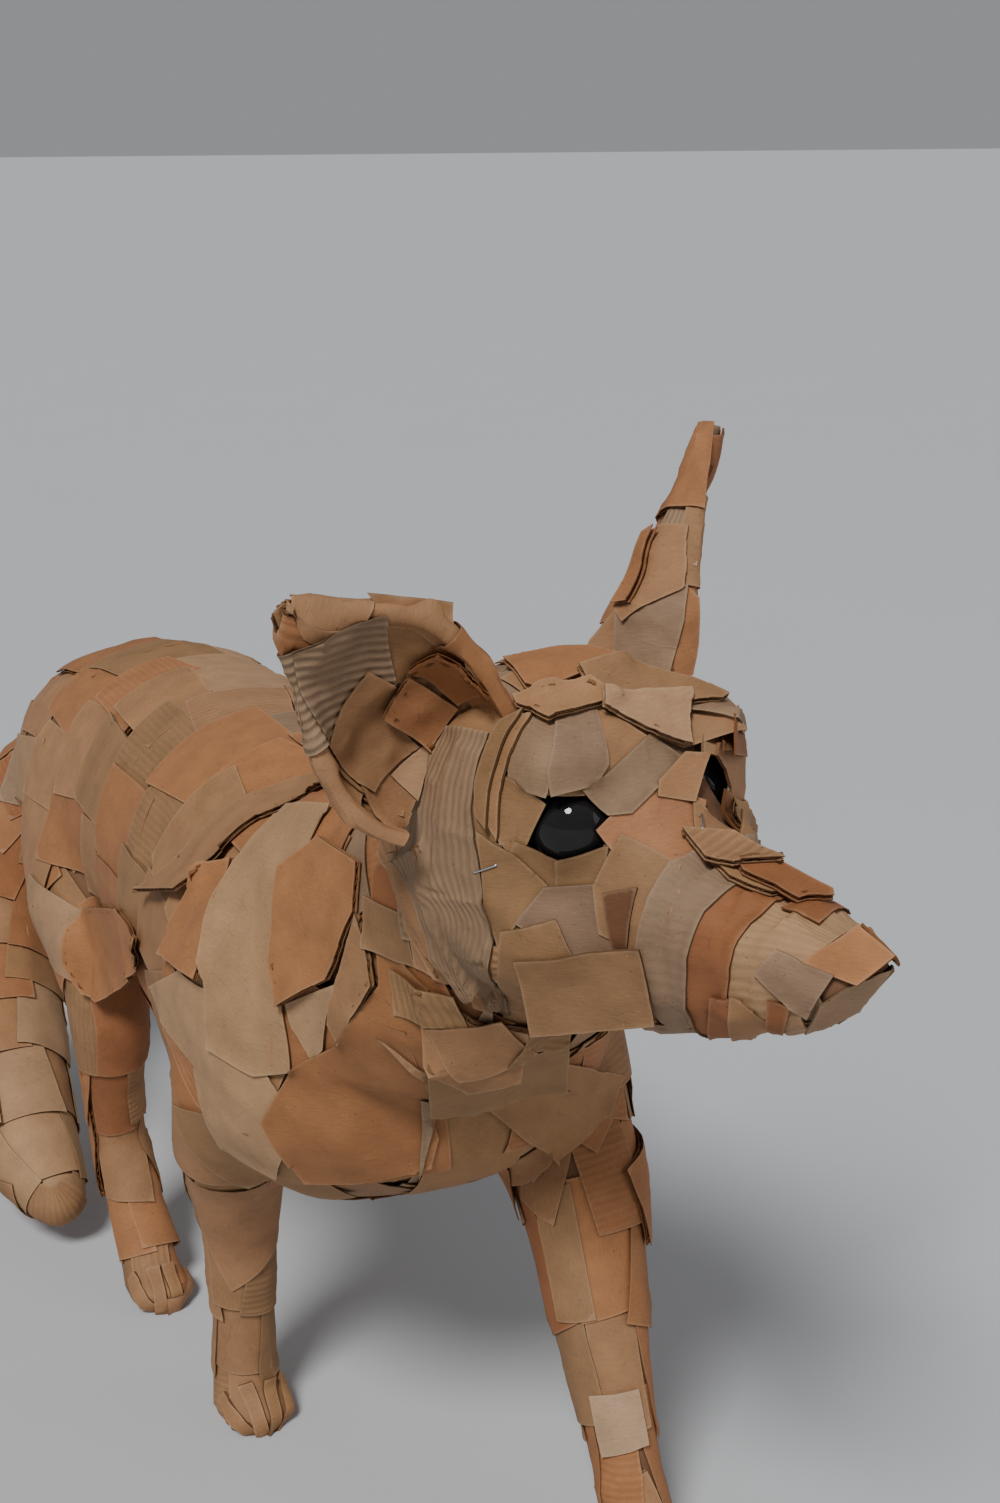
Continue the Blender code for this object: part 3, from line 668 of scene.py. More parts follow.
rowsOf = {"pathPoints": 60, "feelers": (0, 1.6, 3.1, 4.7), "beside": 0.78, "offFloor": 0.004, "endFrom": 0.6}


# Rows of cards round a path, each row over the one before
def shingle(pile, path, sizes, seed, shades, backward=False, reachLimit=0.13, endShades=None):
    rng = random.Random(seed)
    points = smoothPath([bodyPoint(*p) for p in path], rowsOf["pathPoints"])
    lengths = [0]
    for a, b in zip(points, points[1:]):
        lengths.append(lengths[-1] + (b - a).length)
    rowGap = sizes["long"] * sizes["showing"]
    rows = max(int(lengths[-1] / rowGap), 1)
    order = range(rows + 1) if not backward else range(rows, -1, -1)
    for row in order:
        at = lengths[-1] * row / rows
        i = min(max(j for j in range(len(points)) if lengths[j] <= at + 1e-9), len(points) - 2)
        middle = points[i].lerp(points[i + 1], (at - lengths[i]) / max(lengths[i + 1] - lengths[i], 1e-9))
        tangent = (points[i + 1] - points[i]).normalized()
        side = tangent.cross(Vector((0, 0, 1)) if abs(tangent.z) < 0.8 else Vector((0, 1, 0))).normalized()
        other = side.cross(tangent)
        hits = [bodyGround.along(middle, side * math.cos(a) + other * math.sin(a), reachLimit)[0]
                for a in rowsOf["feelers"]]
        radii = [(h - middle).length for h in hits if h]
        if not radii:
            continue
        radius = sum(radii) / len(radii)
        count = max(int(2 * math.pi * radius / (sizes["wide"] * rowsOf["beside"])), 4)
        start = rng.uniform(0, 6.28)
        for k in rng.sample(range(count), count):
            angle = start + 2 * math.pi * k / count
            aim = side * math.cos(angle) + other * math.sin(angle) + tangent * rng.uniform(-0.12, 0.12)
            hit, way = bodyGround.along(middle, aim.normalized(), reachLimit)
            if hit is None or hit.z < rowsOf["offFloor"]:
                continue
            heading = Matrix.Rotation(math.radians(rng.gauss(0, sizes["sway"])), 3, way) @ tangent
            wide = sizes["wide"] * rng.uniform(0.75, 1.25)
            long = sizes["long"] * rng.uniform(0.85, 1.2)
            board = rng.random() < sizes["boards"]
            tones = endShades if endShades and row > rowsOf["endFrom"] * rows else shades
            look = card(step=sizes["step"], board=board, shade=rng.choice(tones), seed=rng.random(),
                        ridge=rng.choice((0, 0, 0, 0, 0.6)), crinkle=rng.uniform(0.0001, 0.0003),
                        curl=rng.uniform(0.0002, 0.0007), grain=rng.choice((0, 1.57)))
            layWrap(pile, hit, heading, handCut(rng, wide, long, rng.uniform(0.85, 1.1), 0.05), look)


bodyShades = ["orange"] * 6 + ["tan"] * 6 + ["lightTan"] * 2 + ["greyTan"] + ["sand"] * 2 + ["rust"]
legShades = ["tan"] * 4 + ["orange"] * 4 + ["sand"] * 2 + ["rust"]
headShades = ["tan"] * 4 + ["sand"] * 3 + ["greyTan"] * 3 + ["greyBrown"] + ["orange"]

# Paths down the middle of the body, legs and tail, on the part's own tables
paths = {
    "torso": ((5, 160, 234), (3, 205, 236), (0, 300, 241), (0, 425, 248), (0, 545, 247), (0, 625, 240)),
    "neck": ((8, 66, 345), (6, 130, 302), (5, 190, 268)),
    "chest": ((6, 190, 245), (6, 150, 238), (6, 128, 236)),
    "legFrontRight": ((-58, 222, 215), (-54, 262, 152), (-47, 278, 105), (-45, 281, 62), (-44, 284, 28),
                      (-43, 279, 10)),
    "legFrontLeft": ((70, 190, 205), (70, 160, 155), (67, 132, 105), (67, 114, 62), (70, 104, 28),
                     (72, 93, 10)),
    "legHindRight": ((-56, 480, 215), (-63, 436, 185), (-62, 430, 150), (-60, 437, 108), (-58, 441, 74),
                     (-56, 424, 40), (-53, 403, 10)),
    "legHindLeft": ((56, 532, 205), (58, 522, 166), (56, 552, 130), (53, 584, 98), (51, 594, 70),
                    (51, 586, 38), (51, 571, 10)),
    "tail": ((0, 625, 250), (-8, 640, 242), (-34, 668, 206), (-64, 662, 158), (-86, 610, 106), (-95, 545, 66),
             (-92, 496, 42), (-86, 466, 28)),
}

bodySizes = {"wide": 0.050, "long": 0.066, "showing": 0.66, "sway": 8, "step": 0.0049, "boards": 0.25}
legSizes = {"wide": 0.025, "long": 0.062, "showing": 0.60, "sway": 5, "step": 0.0034, "boards": 0.08}
tailSizes = {"wide": 0.036, "long": 0.066, "showing": 0.60, "sway": 5, "step": 0.0038, "boards": 0.05}
neckSizes = {"wide": 0.036, "long": 0.048, "showing": 0.66, "sway": 8, "step": 0.0042, "boards": 0.15}

tailCards, legCards, bodyCards, headCards = (Pile(name) for name in ("tailCards", "legCards", "bodyCards",
                                                                     "headCards"))

shingle(tailCards, paths["tail"], tailSizes, 11, ["orange", "tan", "tan", "rust"], backward=True,
        endShades=["lightTan", "tan", "lightTan"])
for seed, leg in enumerate(("legFrontRight", "legFrontLeft", "legHindRight", "legHindLeft")):
    shingle(legCards, paths[leg], legSizes, 20 + seed, legShades, backward=True, reachLimit=0.07)

# Paws: narrow folded strips over each toe, with dark gaps between
toes = {"count": 4, "spread": 0.0082, "fan": 12, "wide": 0.0064, "long": 0.030, "thick": 0.0019, "taper": 0.9,
        "back": 8, "high": 16, "outerBack": 0.002, "step": 0.002}
pawPlaces = ((-43, 268), (72, 82), (-53, 390), (51, 556))


def layToes():
    for number, (x, y) in enumerate(pawPlaces):
        for k in range(toes["count"]):
            aside = k - (toes["count"] - 1) / 2
            spot = bodyPoint(x, y - toes["back"], toes["high"])
            spot += Vector((aside * toes["spread"], abs(aside) * toes["outerBack"], 0))
            hit, way = bodyGround.along(spot + Vector((0, 0, 0.03)), Vector((0, 0, -1)), 0.05)
            if hit is None:
                continue
            heading = Matrix.Rotation(math.radians(aside * toes["fan"]), 3, "Z") @ Vector((0, -1, 0))
            wide, long = toes["wide"] / 2, toes["long"] / 2
            end = wide * toes["taper"]
            layWrap(legCards, hit, heading, [(-wide, -long), (wide, -long), (end, long), (-end, long)],
                    card(step=toes["step"], shade="tan", seed=300 + number * 9 + k, thick=toes["thick"],
                         curl=0, stiff=3))


layToes()
print("tail and legs laid:", len(laid), "cards")
shingle(bodyCards, paths["neck"], neckSizes, 31, bodyShades)
shingle(bodyCards, paths["torso"], bodySizes, 41, bodyShades, backward=True)
shingle(bodyCards, paths["chest"], bodySizes, 51, bodyShades)
print("body laid:", len(laid), "cards")

# Cards of the body that the photograph shows, from the lowest to the topmost, by the pixels of their corners
bodyPatches = (
    ("collar", "tan", "board", {"liftToward": (0.5, 0.85, 0.0045)},
     [(150, 905), (190, 845), (262, 792), (330, 772), (376, 768), (374, 800), (318, 806), (264, 824),
      (221, 860), (190, 905)]),
    ("shoulderLow", "lightTan", "paper", {},
     [(157, 985), (190, 970), (232, 1000), (262, 1062), (300, 1120), (290, 1165), (225, 1140),
      (172, 1080)]),
    ("shoulderBack", "orange", "board", {"liftToward": (0, 1, 0.003)},
     [(212, 868), (240, 862), (226, 925), (214, 982), (172, 956)]),
    ("shoulderStrip", "lightTan", "paper", {},
     [(300, 816), (340, 812), (302, 872), (291, 960), (294, 1064), (258, 1068), (219, 1044), (216, 985),
      (222, 925), (245, 868)]),
    ("shoulderFront", "orange", "board", {"liftToward": (0.2, 1, 0.003)},
     [(293, 868), (330, 838), (358, 862), (354, 912), (338, 977), (300, 1004)]),
    ("leaf", "lightTan", "paper", {}, [(298, 1000), (338, 984), (332, 1040), (314, 1056)]),
    ("zigzagBack", "tan", "board", {"liftToward": (0.7, 0.3, 0.002)},
     [(345, 975), (356, 915), (376, 984), (353, 1036), (338, 1018)]),
    ("neckSide", "rust", "paper", {},
     [(378, 870), (400, 852), (436, 930), (462, 1000), (430, 992), (376, 922)]),
    ("chestBig", "orange", "paper", {},
     [(372, 926), (431, 988), (428, 1166), (312, 1172), (268, 1116), (300, 1064), (345, 1040), (378, 990)]),
    ("chestFront", "greyTan", "paper", {}, [(425, 1088), (502, 1084), (494, 1172), (419, 1174)]),
    ("chestFar", "tan", "paper", {},
     [(500, 1084), (562, 1066), (612, 1062), (596, 1126), (556, 1158), (496, 1172)]),
    ("throatLow", "sand", "board", {"liftToward": (0, 1, 0.003)},
     [(425, 1046), (475, 1056), (520, 1052), (566, 1034), (560, 1062), (500, 1086), (428, 1092)]),
    ("throatHigh", "tan", "board", {"liftToward": (0, 1, 0.003)},
     [(418, 985), (470, 1020), (528, 1026), (524, 1056), (472, 1070), (430, 1046)]),
    ("thigh", "orange", "board", {"liftToward": (0.4, 0.8, 0.003)},
     [(64, 930), (90, 907), (126, 907), (146, 935), (146, 968), (120, 994), (86, 992), (64, 965)]),
    ("pastern", "pale", "paper", {}, [(592, 1396), (636, 1390), (646, 1442), (604, 1454)]),
)


def headWay(left, forward, up):
    return (headTurn @ Vector((left, -forward, up))).normalized()


# Where the sight lines of these pixels meet a plane
def onPlane(pixels, place, facing):
    lines = [sightLine(*pixel) for pixel in pixels]
    return [cameraPlace + line * ((place - cameraPlace).dot(facing) / line.dot(facing)) for line in lines]


pileLimits = {"height": 0.014, "glancing": 0.45, "shift": 0.012}


# How far the cards already reach above a spot of the form
def pileHeight(pile, spot, way):
    top = pileLimits["height"]
    high, start = 0.0, spot + way * top
    for tree in cardsUnder(pile, np.array(spot), top):
        hit = tree.ray_cast(start, -way, top)
        if hit[0] is not None:
            high = max(high, top - hit[3])
    return high


# The spot that a pixel looks at, brought toward the camera by what lies under the card
def raised(pile, pixel, thick, ground):
    spot, way = ground.seen(pixel)
    line = sightLine(*pixel)
    rise = (pileHeight(pile, spot, way) + thick) / max(-line.dot(way), pileLimits["glancing"])
    return spot - line * min(rise, pileLimits["shift"])


# Lays a card by the pixels of its corners, on a plane of its own where it has one
def byPixels(pile, pixels, look, ground):
    facing = farFacing = None
    if "plane" in look:
        place, (left, forward, up) = look["plane"]
        facing, farFacing = headWay(left, forward, up), headWay(-left, forward, up)
        spots = onPlane(pixels, headPoint(*place), facing)
    else:
        spots = [raised(pile, pixel, look["thick"], ground) for pixel in pixels]
    layPatch(pile, spots, look, ground, facing)
    if look.get("mirror"):
        farSpots = [mirrored(spot) for spot in spots]
        layPatch(pile, farSpots, dict(look, seed=look["seed"] + 0.5), ground, farFacing)


# Lays a table's cards, from the lowest to the topmost
def layTable(pile, table, seed, ground=None, **base):
    for number, (_, tone, kind, changes, pixels) in enumerate(table):
        look = card(shade=tone, board=kind == "board", seed=seed + number, **base)
        look.update(changes)
        byPixels(pile, pixels, look, ground or bodyGround)


patchesOn = {"body": {"step": 0.0032, "curl": 0.0004, "stiff": 30}, "face": {"step": 0.0018, "curl": 0.0003},
             "top": {"step": 0.0018, "curl": 0.0004}, "crown": {"step": 0.0018},
             "ear": {"step": 0.0018, "curl": 0.0003}}
bodyFlat = {"board": 0.92, "paper": 0.5}
layTable(bodyCards, [(name, tone, kind, {"flat": bodyFlat[kind], **changes}, pixels)
                     for name, tone, kind, changes, pixels in bodyPatches], 500, **patchesOn["body"])
print("body patches laid:", len(laid), "cards")

# The head: small cards first, so that nothing is left bare, then the ones that the photograph shows
headSizes = {"wide": 0.022, "long": 0.028, "step": 0.0026, "snout": 15, "snoutShare": 0.8, "upTo": 0.12,
             "clearOfEye": 0.026, "sway": 0.25}


def headFill():
    rng = random.Random(61)
    for forward in range(-84, 96, 15):
        middle = headPoint(0, forward, -14 if forward < 20 else -26)
        onSnout = forward >= headSizes["snout"]
        count = 9 if onSnout else 14
        for k in range(count):
            angle = 2 * math.pi * (k + 0.5 * (forward % 2)) / count
            aim = headTurn @ Vector((math.cos(angle), rng.uniform(-0.1, 0.1), math.sin(angle)))
            hit, way = bodyGround.along(middle, aim.normalized(), headSizes["upTo"])
            if hit is None or (hit - headOrigin).length > headSizes["upTo"]:
                continue
            toEye = min((hit - middleOf(eye)).length for eye in ("eye_right", "eye_left"))
            if toEye < headSizes["clearOfEye"]:
                continue
            heading = Matrix.Rotation(rng.gauss(0, headSizes["sway"]), 3, way) @ (headTurn @ Vector((0, -1, 0)))
            size = headSizes["snoutShare"] if onSnout else 1
            wide, long = headSizes["wide"] * size * rng.uniform(0.8, 1.2), headSizes["long"] * size
            outline = handCut(rng, wide, long, 1, 0.05)
            look = card(step=headSizes["step"], shade=rng.choice(headShades), seed=rng.random(),
                        ridge=rng.choice((0, 0, 1)), curl=0.0004, grain=rng.choice((0, 1.57)))
            layWrap(headCards, hit, heading, outline, look)


headFill()
print("head filled:", len(laid), "cards")

# name, shade, kind, what it changes, and its corners in pixels
headPatches = (
    ("crownPlate", "orange", "board", {},
     [(505, 654), (586, 641), (619, 657), (625, 668), (545, 690), (527, 684)]),
    ("browFarHigh", "lightTan", "paper", {"plane": ((32, 7, 27), (0.1, 0.85, 0.5)), "thick": 0.0012},
     [(702, 700), (718, 702), (723, 736), (716, 755), (701, 752)]),
    ("lidFar", "tan", "paper", {"plane": ((40, 9, -1), (0.45, 0.88, 0.1)), "thick": 0.0012},
     [(716, 744), (741, 742), (741, 785), (738, 814), (730, 814), (728, 786), (723, 770), (714, 756)]),
    ("lidFarLow", "rust", "paper", {"plane": ((34, 12, -12), (0.40, 0.88, -0.15)), "thick": 0.0012},
     [(719, 812), (723, 789), (730, 801), (740, 815), (738, 830), (718, 828)]),
    ("browFarSide", "orange", "paper", {"plane": ((39, 6, 19), (0.45, 0.75, 0.45)), "thick": 0.0007},
     [(736, 707), (740, 727), (737, 749), (719, 752), (717, 728)]),
    ("browFarHang", "rust", "paper", {"plane": ((46, 6, 14), (0.6, 0.8, 0.1)), "thick": 0.0007},
     [(733, 708), (739, 714), (745, 756), (733, 754)]),
    ("cheekFar", "sand", "board", {"plane": ((36, 13, -18), (0.5, 0.8, 0))},
     [(727, 806), (736, 811), (757, 852), (746, 856), (730, 834)]),
    ("browA", "greyTan", "paper", {"crinkle": 0.0004, "mirror": True},
     [(509, 740), (528, 718), (566, 724), (553, 772), (549, 798), (514, 786)]),
    ("browC", "tan", "paper", {"mirror": True}, [(582, 700), (646, 737), (628, 766), (596, 784)]),
    ("browB", "greyTan", "paper", {"crinkle": 0.0005, "mirror": True},
     [(556, 720), (594, 702), (606, 764), (594, 784), (549, 797), (549, 770)]),
    ("lidOuter", "sand", "paper", {"crinkle": 0.0003, "mirror": True},
     [(500, 776), (515, 783), (546, 804), (527, 842), (512, 853), (487, 815), (486, 795)]),
    ("lidLowOuter", "sand", "paper", {"mirror": True},
     [(516, 842), (559, 862), (559, 889), (545, 887), (513, 855)]),
    ("lidLowInner", "sand", "paper", {"mirror": True}, [(557, 862), (607, 846), (600, 886), (557, 889)]),
    ("noseRoot", "pink", "paper", {"crinkle": 0.0002},
     [(598, 830), (632, 796), (660, 786), (702, 802), (704, 868), (677, 870), (612, 850)]),
    ("noseSide", "tan", "paper", {}, [(694, 800), (716, 806), (733, 828), (730, 840), (698, 838)]),
    ("browStrip", "greyTan", "paper", {"crinkle": 0.0002},
     [(647, 736), (690, 754), (632, 811), (607, 814), (583, 790), (612, 771)]),
    ("betweenEyes", "tan", "paper", {"plane": ((3, 15, 14), (-0.12, 0.84, 0.53))},
     [(657, 782), (684, 754), (707, 755), (693, 800), (657, 796)]),
    ("templeTriangle", "sand", "paper", {"mirror": True},
     [(478, 832), (515, 857), (546, 886), (515, 925), (499, 953), (487, 913), (483, 870)]),
    ("cheekGrey", "greyBrown", "paper", {"mirror": True},
     [(545, 889), (596, 885), (615, 949), (566, 953), (517, 924)]),
    ("cheekGreen", "sand", "paper", {"mirror": True},
     [(620, 836), (678, 869), (649, 934), (638, 950), (600, 932), (595, 887), (609, 857)]),
    ("wedge", "darkBrown", "paper", {}, [(603, 896), (637, 889), (630, 946), (615, 949)]),
    ("jawBack", "sand", "paper", {"crinkle": 0.0004, "mirror": True},
     [(502, 934), (556, 917), (572, 955), (562, 1012), (506, 1007)]),
)

layTable(headCards, headPatches, 700, **patchesOn["face"])
print("face laid:", len(laid), "cards")

# Bands round the muzzle, from the nose back: where each starts and ends ahead of the eyes, and its lean
muzzleBands = Pile("muzzleBands")
bandLooks = ((61, 87, 14, "lightTan", 0.6), (45.5, 63, 14, "rust", 0.1), (28, 47.5, 14, "greyTan", 0.3))
bandCorners = (-90, -52, -14, 22, 52, 76, 104, 128, 158, 194, 232, 270)
bandShape = {"step": 0.0016, "axisUp": -27, "reach": 0.08, "off": 0.0004, "round": 0.16, "between": 5}


# A band folded round the muzzle, flat between its folds
def layBand(start, end, lean, tone, ridge, seed):
    steep = math.tan(math.radians(lean))
    along = max(int((end - start) * mm / bandShape["step"]), 4)
    between = bandShape["between"]
    wide = (len(bandCorners) - 1) * between + 1
    spots, ways, flat = [], [], []
    for i in range(along + 1):
        forward = start + (end - start) * i / along
        row = []
        for corner in bandCorners:
            angle = math.radians(corner)
            aim = headTurn @ Vector((math.cos(angle), -math.sin(angle) * steep, math.sin(angle)))
            row.append(bodyGround.along(headPoint(0, forward, bandShape["axisUp"]), aim.normalized(),
                                        bandShape["reach"])[0])
        full = [a.lerp(b, k / between) for a, b in zip(row, row[1:]) for k in range(between)] + [row[-1]]
        centre = sum(row, Vector()) / len(row)
        for j, spot in enumerate(full):
            tangent = full[min(j + 1, wide - 1)] - full[max(j - 1, 0)]
            way = tangent.cross(headWay(0, 1, 0)).normalized()
            out = way if way.dot(spot - centre) > 0 else -way
            spots.append(spot + out * bandShape["off"])
            ways.append(out)
            flat.append((j / wide * bandShape["round"], forward * mm))
    faces = turnedOut(rowFaces(along, wide), spots, ways, 3)
    lengths = np.array([f[1] for f in flat])
    rims = np.minimum(lengths - start * mm, end * mm - lengths)
    lay(muzzleBands, flat, faces, rims, spots, ways,
        card(shade=tone, ridge=ridge, seed=seed, curl=0.0002, stiff=2, crinkle=0.00012, thick=0.0007,
             grain=1.57))


for number, (start, end, lean, tone, ridge) in enumerate(bandLooks):
    layBand(start, end, lean, tone, ridge, 800 + number)

ridgeWay = (-0.10, 0.31, 0.95)  # out of the top of the muzzle
topPatches = (
    ("chinSide", "rust", "paper", {}, [(711, 1000), (733, 1006), (735, 1042), (712, 1032)]),
    ("chinFold", "tan", "paper", {}, [(731, 1004), (772, 1022), (745, 1043), (733, 1042)]),
    ("chinFront", "rust", "paper", {}, [(768, 1004), (790, 1010), (782, 1030), (770, 1026)]),
    ("noseOrange", "rust", "paper", {}, [(786, 906), (829, 903), (845, 917), (822, 922)]),
    ("bandSquare", "greyTan", "paper", {"flat": 0.95}, [(757, 974), (776, 952), (831, 976), (804, 1019)]),
    ("flapUnder", "tan", "board", {"plane": ((0, 56, -13.5), ridgeWay)},
     [(706, 860), (745, 868), (786, 893), (782, 899), (768, 903), (730, 884)]),
    ("flapLow", "rust", "board", {"plane": ((0, 64, -12.4), ridgeWay)},
     [(740, 871), (781, 870), (829, 895), (830, 902), (796, 906), (744, 878)]),
    ("flapHigh", "tan", "board", {"plane": ((0, 40, -4.6), (-0.16, 0.33, 0.93)), "ridge": 1.2},
     [(683, 834), (733, 838), (780, 869), (736, 872), (706, 862)]),
    ("cheekPlate", "sand", "paper", {"thick": 0.0013, "crinkle": 0.0003, "grow": 0, "mirror": True,
                                     "plane": ((-35.5, 7, -53), (-0.87, 0.45, -0.12))},
     [(517, 956), (641, 947), (656, 1024), (532, 1035)]),
    ("templeScrap", "tan", "paper", {"mirror": True},
     [(458, 710), (474, 701), (509, 716), (495, 738), (449, 731)]),
    ("crescentLow", "tan", "paper", {"thick": 0.0012, "flat": 0.5, "mirror": True},
     [(510, 722), (532, 716), (512, 752), (499, 792), (500, 838), (484, 815), (484, 782), (494, 748)]),
    ("crescentHigh", "sand", "paper", {"thick": 0.0012, "flat": 0.5, "mirror": True},
     [(500, 724), (524, 714), (502, 748), (488, 788), (490, 826), (477, 812), (478, 780), (490, 744)]),
    ("jawStripLow", "tan", "board", {"mirror": True}, [(398, 850), (410, 846), (480, 985), (470, 990)]),
    ("jawStripHigh", "tan", "board", {"mirror": True}, [(409, 850), (421, 845), (489, 985), (480, 990)]),
)


capFlaps = (
    (("sideMiddle", "sideFront", "underTip", "frontLow", "sideLow"), 861,
     {"step": 0.0018, "shade": "greyTan", "thick": 0.0008, "grow": 0.0003}),
    (("sideBack", "ridgeBack", "tip", "sideFront"), 866,
     {"step": 0.0016, "shade": "orange", "thick": 0.0009, "grow": 0.0004}),
)


def layCap():
    for number, side in enumerate((-1, 1)):
        for names, seed, changes in capFlaps:
            spots, facing = capFacet(names, side)
            layPatch(headCards, spots, card(seed=seed + number, **changes), bodyGround, facing)


layCap()
layTable(headCards, topPatches, 900, **patchesOn["top"])

# The long ridged strip behind the eye, down the side of the head
templeBand = {
    "left": [(438, 730), (426, 752), (413, 798), (414, 846), (438, 898), (466, 955), (505, 1011)],
    "right": [(496, 736), (481, 775), (477, 812), (482, 850), (488, 893), (498, 951), (511, 1009)],
}
bandEdges = [[bodyGround.seen(pixel)[0] for pixel in templeBand[side]] for side in ("left", "right")]
farEdges = [[mirrored(spot) for spot in edge] for edge in bandEdges]
ridged = card(step=0.0010, shade="greyTan", thick=0.0008, ridge=1.0, crinkle=0.0002, curl=0.0004, seed=951,
              stiff=8, grain=1.57)
layRibbon(headCards, *bandEdges, ridged)
layRibbon(headCards, *farEdges, dict(ridged, step=0.002))

crownPatches = (
    ("crownLong", "tan", "board", {},
     [(578, 670), (625, 662), (690, 680), (724, 698), (716, 703), (640, 690), (592, 686)]),
    ("flapLeft", "tan", "board", {"liftToward": (0, 1, 0.002)},
     [(515, 701), (581, 676), (622, 693), (618, 702), (550, 724), (519, 707)]),
    ("flapRight", "lightTan", "board", {"liftToward": (0.2, 1, 0.003)},
     [(609, 702), (606, 686), (687, 691), (692, 740), (654, 734), (616, 716)]),
)
layTable(headCards, crownPatches, 980, **patchesOn["crown"])
print("head laid:", len(laid), "cards")

# The ears: cupped leaves of card, wrapped at the rim
earShape = {"wall": 0.0018, "outerInset": 0.0026, "arc": 100, "rows": 36, "columns": 30, "baseShare": -0.04,
            "length": 0.095, "round": 0.18, "wrapWide": 0.012, "wrapLong": 0.1}
ears = {
    "right": {"root": (-49, -34, 19), "tip": (-98, -58, 77), "opening": (-62, 72, 30)},
    "left": {"root": (50, -34, 22), "tip": (92, -50, 108), "opening": (74, 62, 20)},
}
# share of the length, half width, drift toward the upper rim, depth of the cup
earProfile = ((-0.10, 28, -2, 24), (0.08, 33, -3, 28), (0.28, 35, -1, 24), (0.48, 31, 2, 17),
              (0.68, 22, 3, 11), (0.86, 12, 2, 6.5), (1.00, 5, 1, 4.5))


def eased(table, at):
    rows = np.array(table, float)
    x = rows[:, 0]
    at = min(max(at, x[0]), x[-1])
    i = min(max(int(np.searchsorted(x, at)) - 1, 0), len(x) - 2)
    beside = [(max(k - 1, 0), min(k + 1, len(x) - 1)) for k in (i, i + 1)]
    slopes = [(rows[after] - rows[before]) / (x[after] - x[before]) for before, after in beside]
    gap = x[i + 1] - x[i]
    t = (at - x[i]) / gap
    return ((2 * t ** 3 - 3 * t ** 2 + 1) * rows[i] + (t ** 3 - 2 * t ** 2 + t) * gap * slopes[0]
            + (3 * t ** 2 - 2 * t ** 3) * rows[i + 1] + (t ** 3 - t ** 2) * gap * slopes[1])[1:]


def earSurface(ear):
    base, end = headPoint(*ear["root"]), headPoint(*ear["tip"])
    axis = end - base
    facing = (headPoint(*ear["opening"]) - headOrigin).normalized()
    facing = (facing - axis.normalized() * facing.dot(axis.normalized())).normalized()
    rimWay = axis.normalized().cross(facing)
    if rimWay.z < 0:
        rimWay.negate()

    def point(share, degrees, inset):
        halfWidth, drift, depth = eased(earProfile, share)
        angle = math.radians(degrees)
        middle = base + axis * share + rimWay * drift * mm
        return (middle + rimWay * (halfWidth * mm - inset) * math.sin(angle)
                - facing * (depth * mm - inset) * math.cos(angle))

    def way(share, degrees, inset):
        along = point(share + 0.01, degrees, inset) - point(share - 0.01, degrees, inset)
        across = point(share, degrees + 1, inset) - point(share, degrees - 1, inset)
        out = along.cross(across).normalized()
        outward = rimWay * math.sin(math.radians(degrees)) - facing * math.cos(math.radians(degrees))
        return out if out.dot(outward) > 0 else -out

    return point, way


def buildEar(name, ear):
    pile = Pile(name)
    point, way = earSurface(ear)
    outer, inner = earShape["outerInset"], earShape["outerInset"] + earShape["wall"]
    base, rowCount, columnCount = earShape["baseShare"], earShape["rows"], earShape["columns"]
    shares = [base + (1 - base) * i / rowCount for i in range(rowCount + 1)]
    angles = [-earShape["arc"] + 2 * earShape["arc"] * j / columnCount for j in range(columnCount + 1)]
    skins = [[[point(s, a, inset) for a in angles] for s in shares] for inset in (outer, inner)]
    points = [p for skin in skins for row in skin for p in row]
    rows, wide = len(shares), len(angles)

    def index(skin, i, j):
        return skin * rows * wide + i * wide + j

    faces = []
    for i in range(rows - 1):
        for j in range(wide - 1):
            faces.append((index(0, i, j), index(0, i, j + 1), index(0, i + 1, j + 1), index(0, i + 1, j)))
            faces.append((index(1, i, j), index(1, i + 1, j), index(1, i + 1, j + 1), index(1, i, j + 1)))
        for j in (0, wide - 1):
            faces.append((index(0, i, j), index(0, i + 1, j), index(1, i + 1, j), index(1, i, j)))
    for i in (0, rows - 1):
        for j in range(wide - 1):
            faces.append((index(0, i, j), index(0, i, j + 1), index(1, i, j + 1), index(1, i, j)))
    bm = bmesh.new()
    made = [bm.verts.new(p) for p in points]
    for face in faces:
        bm.faces.new([made[i] for i in face])
    bmesh.ops.recalc_face_normals(bm, faces=bm.faces)
    bm.verts.index_update()
    faces = [tuple(v.index for v in f.verts) for f in bm.faces]
    bm.free()
    uvs = [(points[i].x, points[i].z) for face in faces for i in face]
    unworn = [0.01] * len(points)
    pile.put([tuple(p) for p in points], faces, uvs, [0] * len(faces), cardShades["tan"], unworn, 0.0)
    return pile, Ground(points, faces), point, way


